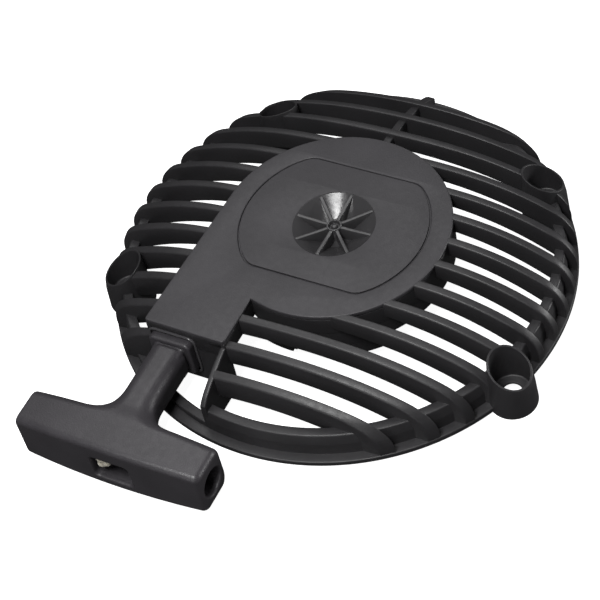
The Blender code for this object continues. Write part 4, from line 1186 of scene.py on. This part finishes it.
# ------------------------------------------------------------------------------ handle
@dataclass
class Handle:
    """T-handle with hollow ends, knot slot, stem and collar, as one signed distance.

    Across the handle x is measured from the rope.
    """

    middle: float = -40.7
    left: float = -42.5
    right: float = 43.4
    front: float = -132.7
    back: float = -111.5
    top: float = 27.2
    foot: float = 0.8
    half_length: float = 43.0       # over which the faces bow
    bow_front: float = 1.8
    bow_back: float = 1.2
    bow_top: float = 2.2
    bow_foot: float = 0.8
    edge_front: float = 2.4         # radius of the bar's edges
    edge_grow: float = 3.4          # how much larger they are at the back
    stem: float = 8.0               # half its width
    stem_top: float = 25.8
    stem_foot: float = 9.4
    shoulder: float = 13.0          # radius where the stem meets the bar
    tip: float = -70.6
    collar: float = 4.9
    slot_x: float = 1.7
    slot_half: Point2 = (8.9, 6.4)
    slot_depth: float = 10.2
    bore_y: float = -122.1
    bore_z: float = 12.4            # also the slot's height
    bore_radius: float = 6.2
    bore_depth: float = 28.0
    rope_z: float = 17.5
    rope_hole: float = 2.7
    step: float = 0.5

    def distance(self, x: np.ndarray, y: np.ndarray, z: np.ndarray) -> np.ndarray:
        """Signed distance of the handle.

        Args:
            x: Across the handle.
            y: Along the rope.
            z: Upwards.

        Returns:
            The distance, negative inside.
        """
        body = np.minimum(self.bar_and_stem(x, y, z), self.tip_end(x, y, z))
        opening = self.box2(x - self.slot_x, z - self.bore_z, *self.slot_half, 2.0)
        slot = self.rounded_meet(opening, np.abs(y - self.front) - self.slot_depth, 0.6)
        body = self.soft_max(body, -slot, 0.9)
        for end in (self.left, self.right):
            round_hole = np.hypot(y - self.bore_y, z - self.bore_z) - self.bore_radius
            bore = np.maximum(round_hole, np.abs(x - end) - self.bore_depth)
            body = self.soft_max(body, -bore, 1.2)
        rope = np.maximum(np.hypot(x, z - self.rope_z) - self.rope_hole, self.front + 8.0 - y)
        return self.soft_max(body, -rope, 0.4)

    def bar_and_stem(self, x: np.ndarray, y: np.ndarray, z: np.ndarray) -> np.ndarray:
        """Signed distance of the bowed bar and the stem that grows out of it."""
        share = np.clip(np.abs(x) / self.half_length, 0.0, 1.0)
        front = self.front + self.bow_front * share ** 2
        back = self.back - self.bow_back * share ** 2
        bar = np.abs(y - (front + back) / 2) - (back - front) / 2
        near, far = self.back - 8.0, self.tip + 6.0
        stem = self.box2(x, y - (near + far) / 2, self.stem, (far - near) / 2, 0.6)
        plan = self.soft_min(bar, stem, self.shoulder)
        arm = np.clip((self.back + 5.0 - y) / 10.0, 0.0, 1.0)
        arm = arm * arm * (3.0 - 2.0 * arm)
        top = self.stem_top + (self.top - self.stem_top) * arm - self.bow_top * share ** 2 * arm
        foot = self.stem_foot + (self.foot - self.stem_foot) * arm + self.bow_foot * share ** 2 * arm
        fold = np.clip((y - self.front) / (self.back - self.front), 0.0, 1.0)
        tall = np.abs(z - (top + foot) / 2) - (top - foot) / 2
        body = self.rounded_meet(plan, tall, self.edge_front + self.edge_grow * fold)
        body = self.rounded_meet(body, self.left - x, 0.7)
        body = self.rounded_meet(body, x - self.right, 2.6)
        return self.rounded_meet(body, y - (self.tip - self.collar - 0.9), 0.8)

    def tip_end(self, x: np.ndarray, y: np.ndarray, z: np.ndarray) -> np.ndarray:
        """Signed distance of the narrow neck and the collar at the end of the stem."""
        neck = np.maximum(self.box2(x, z - self.rope_z, 6.9, 7.2, 1.5), np.abs(y - self.tip + 5.0) - 4.0)
        along = np.abs(y - self.tip + self.collar / 2) - self.collar / 2
        collar = self.rounded_meet(self.box2(x, z - 17.9, 9.7, 9.4, 2.4), along, 0.7)
        return np.minimum(neck, collar)

    @staticmethod
    def box2(u: np.ndarray, v: np.ndarray, half_u: float | np.ndarray, half_v: float | np.ndarray,
             corner: float) -> np.ndarray:
        """Signed distance of a flat rectangle with round corners."""
        return Handle.rounded_meet(np.abs(u) - half_u, np.abs(v) - half_v, corner)

    @staticmethod
    def rounded_meet(first: np.ndarray, second: np.ndarray, edge: float | np.ndarray) -> np.ndarray:
        """Overlap of two distances, with the edge between them rounded."""
        a, b = first + edge, second + edge
        within = np.minimum(np.maximum(a, b), 0.0)
        return within + np.hypot(np.maximum(a, 0.0), np.maximum(b, 0.0)) - edge

    @staticmethod
    def soft_min(first: np.ndarray, second: np.ndarray, reach: float) -> np.ndarray:
        """Union of two distances with a fillet."""
        share = np.clip(0.5 + 0.5 * (second - first) / reach, 0.0, 1.0)
        return second * (1 - share) + first * share - reach * share * (1 - share)

    def soft_max(self, first: np.ndarray, second: np.ndarray, reach: float) -> np.ndarray:
        """Overlap of two distances with a soft edge."""
        return -self.soft_min(-first, -second, reach)

    def build(self) -> None:
        """Build and dress the handle."""
        grip = surface_nets("handle_moulding", self.distance, (-45.0, -136.0, -1.5),
                            (46.0, -68.0, 29.5), self.step)
        turn(grip, Matrix.Translation((self.middle * MM, 0.0, 0.0)))
        grip.data.shade_smooth()
        dress(grip, GRIP_BLACK.material(), Body.HANDLE, ["handle_grip"])


# ------------------------------------------------------------------------------ rope
@dataclass
class Rope:
    """The pull rope: its straight lead and the knot in the handle."""

    x: float = -40.7
    z: float = 17.5
    radius: float = 2.0
    start: float = -13.0
    end: float = -118.5
    bend_start: float = -74.0       # a place along the lead, in millimetres
    bend_end: float = -104.0        # another place along the lead, nearer the handle
    knot_centre: Point3 = (-43.6, -128.3, 14.6)
    knot_spread: float = 0.82
    knot_depth: float = 1.7
    knot_rope: float = 1.75         # radius of the rope, drawn tight

    def build(self) -> None:
        """Build and dress the rope's visible pieces."""
        rope = ROPE.material()
        lead = self.lead()
        lead.data.materials.append(rope)
        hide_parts("rope_lead")
        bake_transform(lead)
        LOG.info("%s blends from housing to handle", lead.name)
        dress(self.knot(), rope, Body.HANDLE, ["grip_knot"])

    def lead(self) -> bpy.types.Object:
        """Braided straight run from the pulley to the handle."""
        around, carriers = 32, 8
        rows = []
        for y in np.arange(self.start, self.end, -0.4):
            row = []
            for k in range(around):
                angle = math.tau * k / around
                first = math.cos(carriers / 2 * angle + y * 1.5)
                second = math.cos(carriers / 2 * angle - y * 1.5)
                radius = self.radius - 0.16 + 0.16 * max(abs(first), abs(second))
                row.append((self.x + radius * math.cos(angle), y, self.z + radius * math.sin(angle)))
            rows.append(row)
        return smooth(loft("rope_lead_cord", rows), 60.0)

    def knot(self) -> bpy.types.Object:
        """A tight overhand knot."""
        x, y, z = self.knot_centre
        points = []
        for t in np.linspace(0.0, math.tau, 97)[:-1]:
            points.append((x + self.knot_spread * (math.sin(t) + 2 * math.sin(2 * t)),
                           y - self.knot_depth * math.sin(3 * t),
                           z + self.knot_spread * (math.cos(t) - 2 * math.cos(2 * t))))
        return smooth(wire("grip_knot_cord", points, self.knot_rope, closed=True, facets=5), 60.0)


# ------------------------------------------------------------------------------ studio
@dataclass
class Studio:
    """Pale floor, soft lights and the camera."""

    eye: Point3 = (326.78, -458.97, 651.91)
    right: Point3 = (0.88231654, 0.4423494, -0.16076233)
    up: Point3 = (-0.25413607, 0.73525934, 0.62833794)
    back: Point3 = (0.39614692, -0.51353745, 0.76114841)
    lens: float = 120.0
    sensor: float = 36.0

    def build(self) -> None:
        """Set up floor, lights, world and camera."""
        self.floor()
        self.light("key", (40.0, -430.0, 900.0), 320.0, 7.5)
        self.light("sweep", (-330.0, 440.0, 1050.0), 760.0, 3.9)
        self.light("side", (740.0, 515.0, 150.0), 300.0, 4.0)
        self.light("front", (100.0, -900.0, 260.0), 500.0, 1.5)
        self.world()
        self.camera()
        bpy.context.scene.view_settings.view_transform = "Standard"

    def floor(self) -> None:
        """Plain pale sheet under the object."""
        mesh = bpy.data.meshes.new("floor")
        half = 3.0
        mesh.from_pydata([(-half, -half, -0.0002), (half, -half, -0.0002), (half, half, -0.0002),
                          (-half, half, -0.0002)], [], [(0, 1, 2, 3)])
        sheet = place("floor", mesh)
        material = bpy.data.materials.new("floor_paper")
        material.use_nodes = True
        shader = material.node_tree.nodes["Principled BSDF"]
        shader.inputs["Base Color"].default_value = (0.9, 0.9, 0.9, 1.0)
        shader.inputs["Roughness"].default_value = 0.9
        shader.inputs["Emission Color"].default_value = (1.0, 1.0, 1.0, 1.0)
        shader.inputs["Emission Strength"].default_value = 0.95
        mesh.materials.append(material)
        sheet.visible_diffuse = False
        sheet.visible_glossy = False

    def light(self, name: str, spot: Point3, size: float, power: float) -> None:
        """Add a square soft light that looks at the object.

        Args:
            name: Name of the light.
            spot: Its place in millimetres.
            size: Its side in millimetres.
            power: Its power in watts.
        """
        lamp = bpy.data.lights.new(name, "AREA")
        lamp.shape = "SQUARE"
        lamp.size = size * MM
        lamp.energy = power
        holder = bpy.data.objects.new(name, lamp)
        bpy.context.scene.collection.objects.link(holder)
        holder.location = [c * MM for c in spot]
        aim = Vector((0.0, -20.0, 15.0)) - Vector(spot)
        holder.rotation_euler = aim.to_track_quat("-Z", "Y").to_euler()

    def world(self) -> None:
        """Even pale surroundings."""
        world = bpy.data.worlds.new("studio")
        world.use_nodes = True
        shade = world.node_tree.nodes["Background"]
        shade.inputs["Color"].default_value = (1.0, 1.0, 1.0, 1.0)
        shade.inputs["Strength"].default_value = 0.05
        bpy.context.scene.world = world

    def camera(self) -> None:
        """Place the camera."""
        lens = bpy.data.cameras.new("camera")
        lens.lens = self.lens
        lens.sensor_width = self.sensor
        lens.clip_start = 0.01
        holder = bpy.data.objects.new("camera", lens)
        bpy.context.scene.collection.objects.link(holder)
        columns = [Vector(v) for v in (self.right, self.up, self.back)]
        turned = Matrix([[c[i] for c in columns] for i in range(3)]).to_4x4()
        holder.matrix_world = Matrix.Translation([c * MM for c in self.eye]) @ turned
        bpy.context.scene.camera = holder


def carried() -> None:
    """Give the frame's own nodes that stay in sight their finishes."""
    finishes = {
        "pulley": WORKS_BLACK, "pawl_a": ACETAL_WHITE, "pawl_b": ACETAL_WHITE,
        "pawl_retainer": ACETAL_WHITE, "rewind_spring": BLUED, "brake_spring": BLUED,
        "spring_cup": ZINC, "rope_eyelet": ZINC, "centre_screw": ZINC, "thrust_washer": ZINC,
        "pawl_pin_a": ZINC, "pawl_pin_b": ZINC, "threaded_insert": BRASS, "pulley_bush": BRONZE,
        "rope_coil": ROPE, "pulley_knot": ROPE}
    made: dict[str, bpy.types.Material] = {}
    for node, finish in finishes.items():
        if finish.name not in made:
            made[finish.name] = bpy.data.materials.get(finish.name) or finish.material()
        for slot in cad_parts[node].material_slots:
            slot.material = made[finish.name]


def corners(low_high: Iterable[Iterable[float]]) -> list[list[float]]:
    """Turn a box into plain lists of numbers."""
    return [[float(c) for c in corner] for corner in low_high]


def main() -> None:
    """Build every piece, in order."""
    logging.basicConfig(level=logging.INFO, format="%(name)s: %(message)s")
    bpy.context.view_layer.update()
    Studio().build()
    Housing().build()
    Handle().build()
    Rope().build()
    carried()


if __name__ == "__main__":
    main()
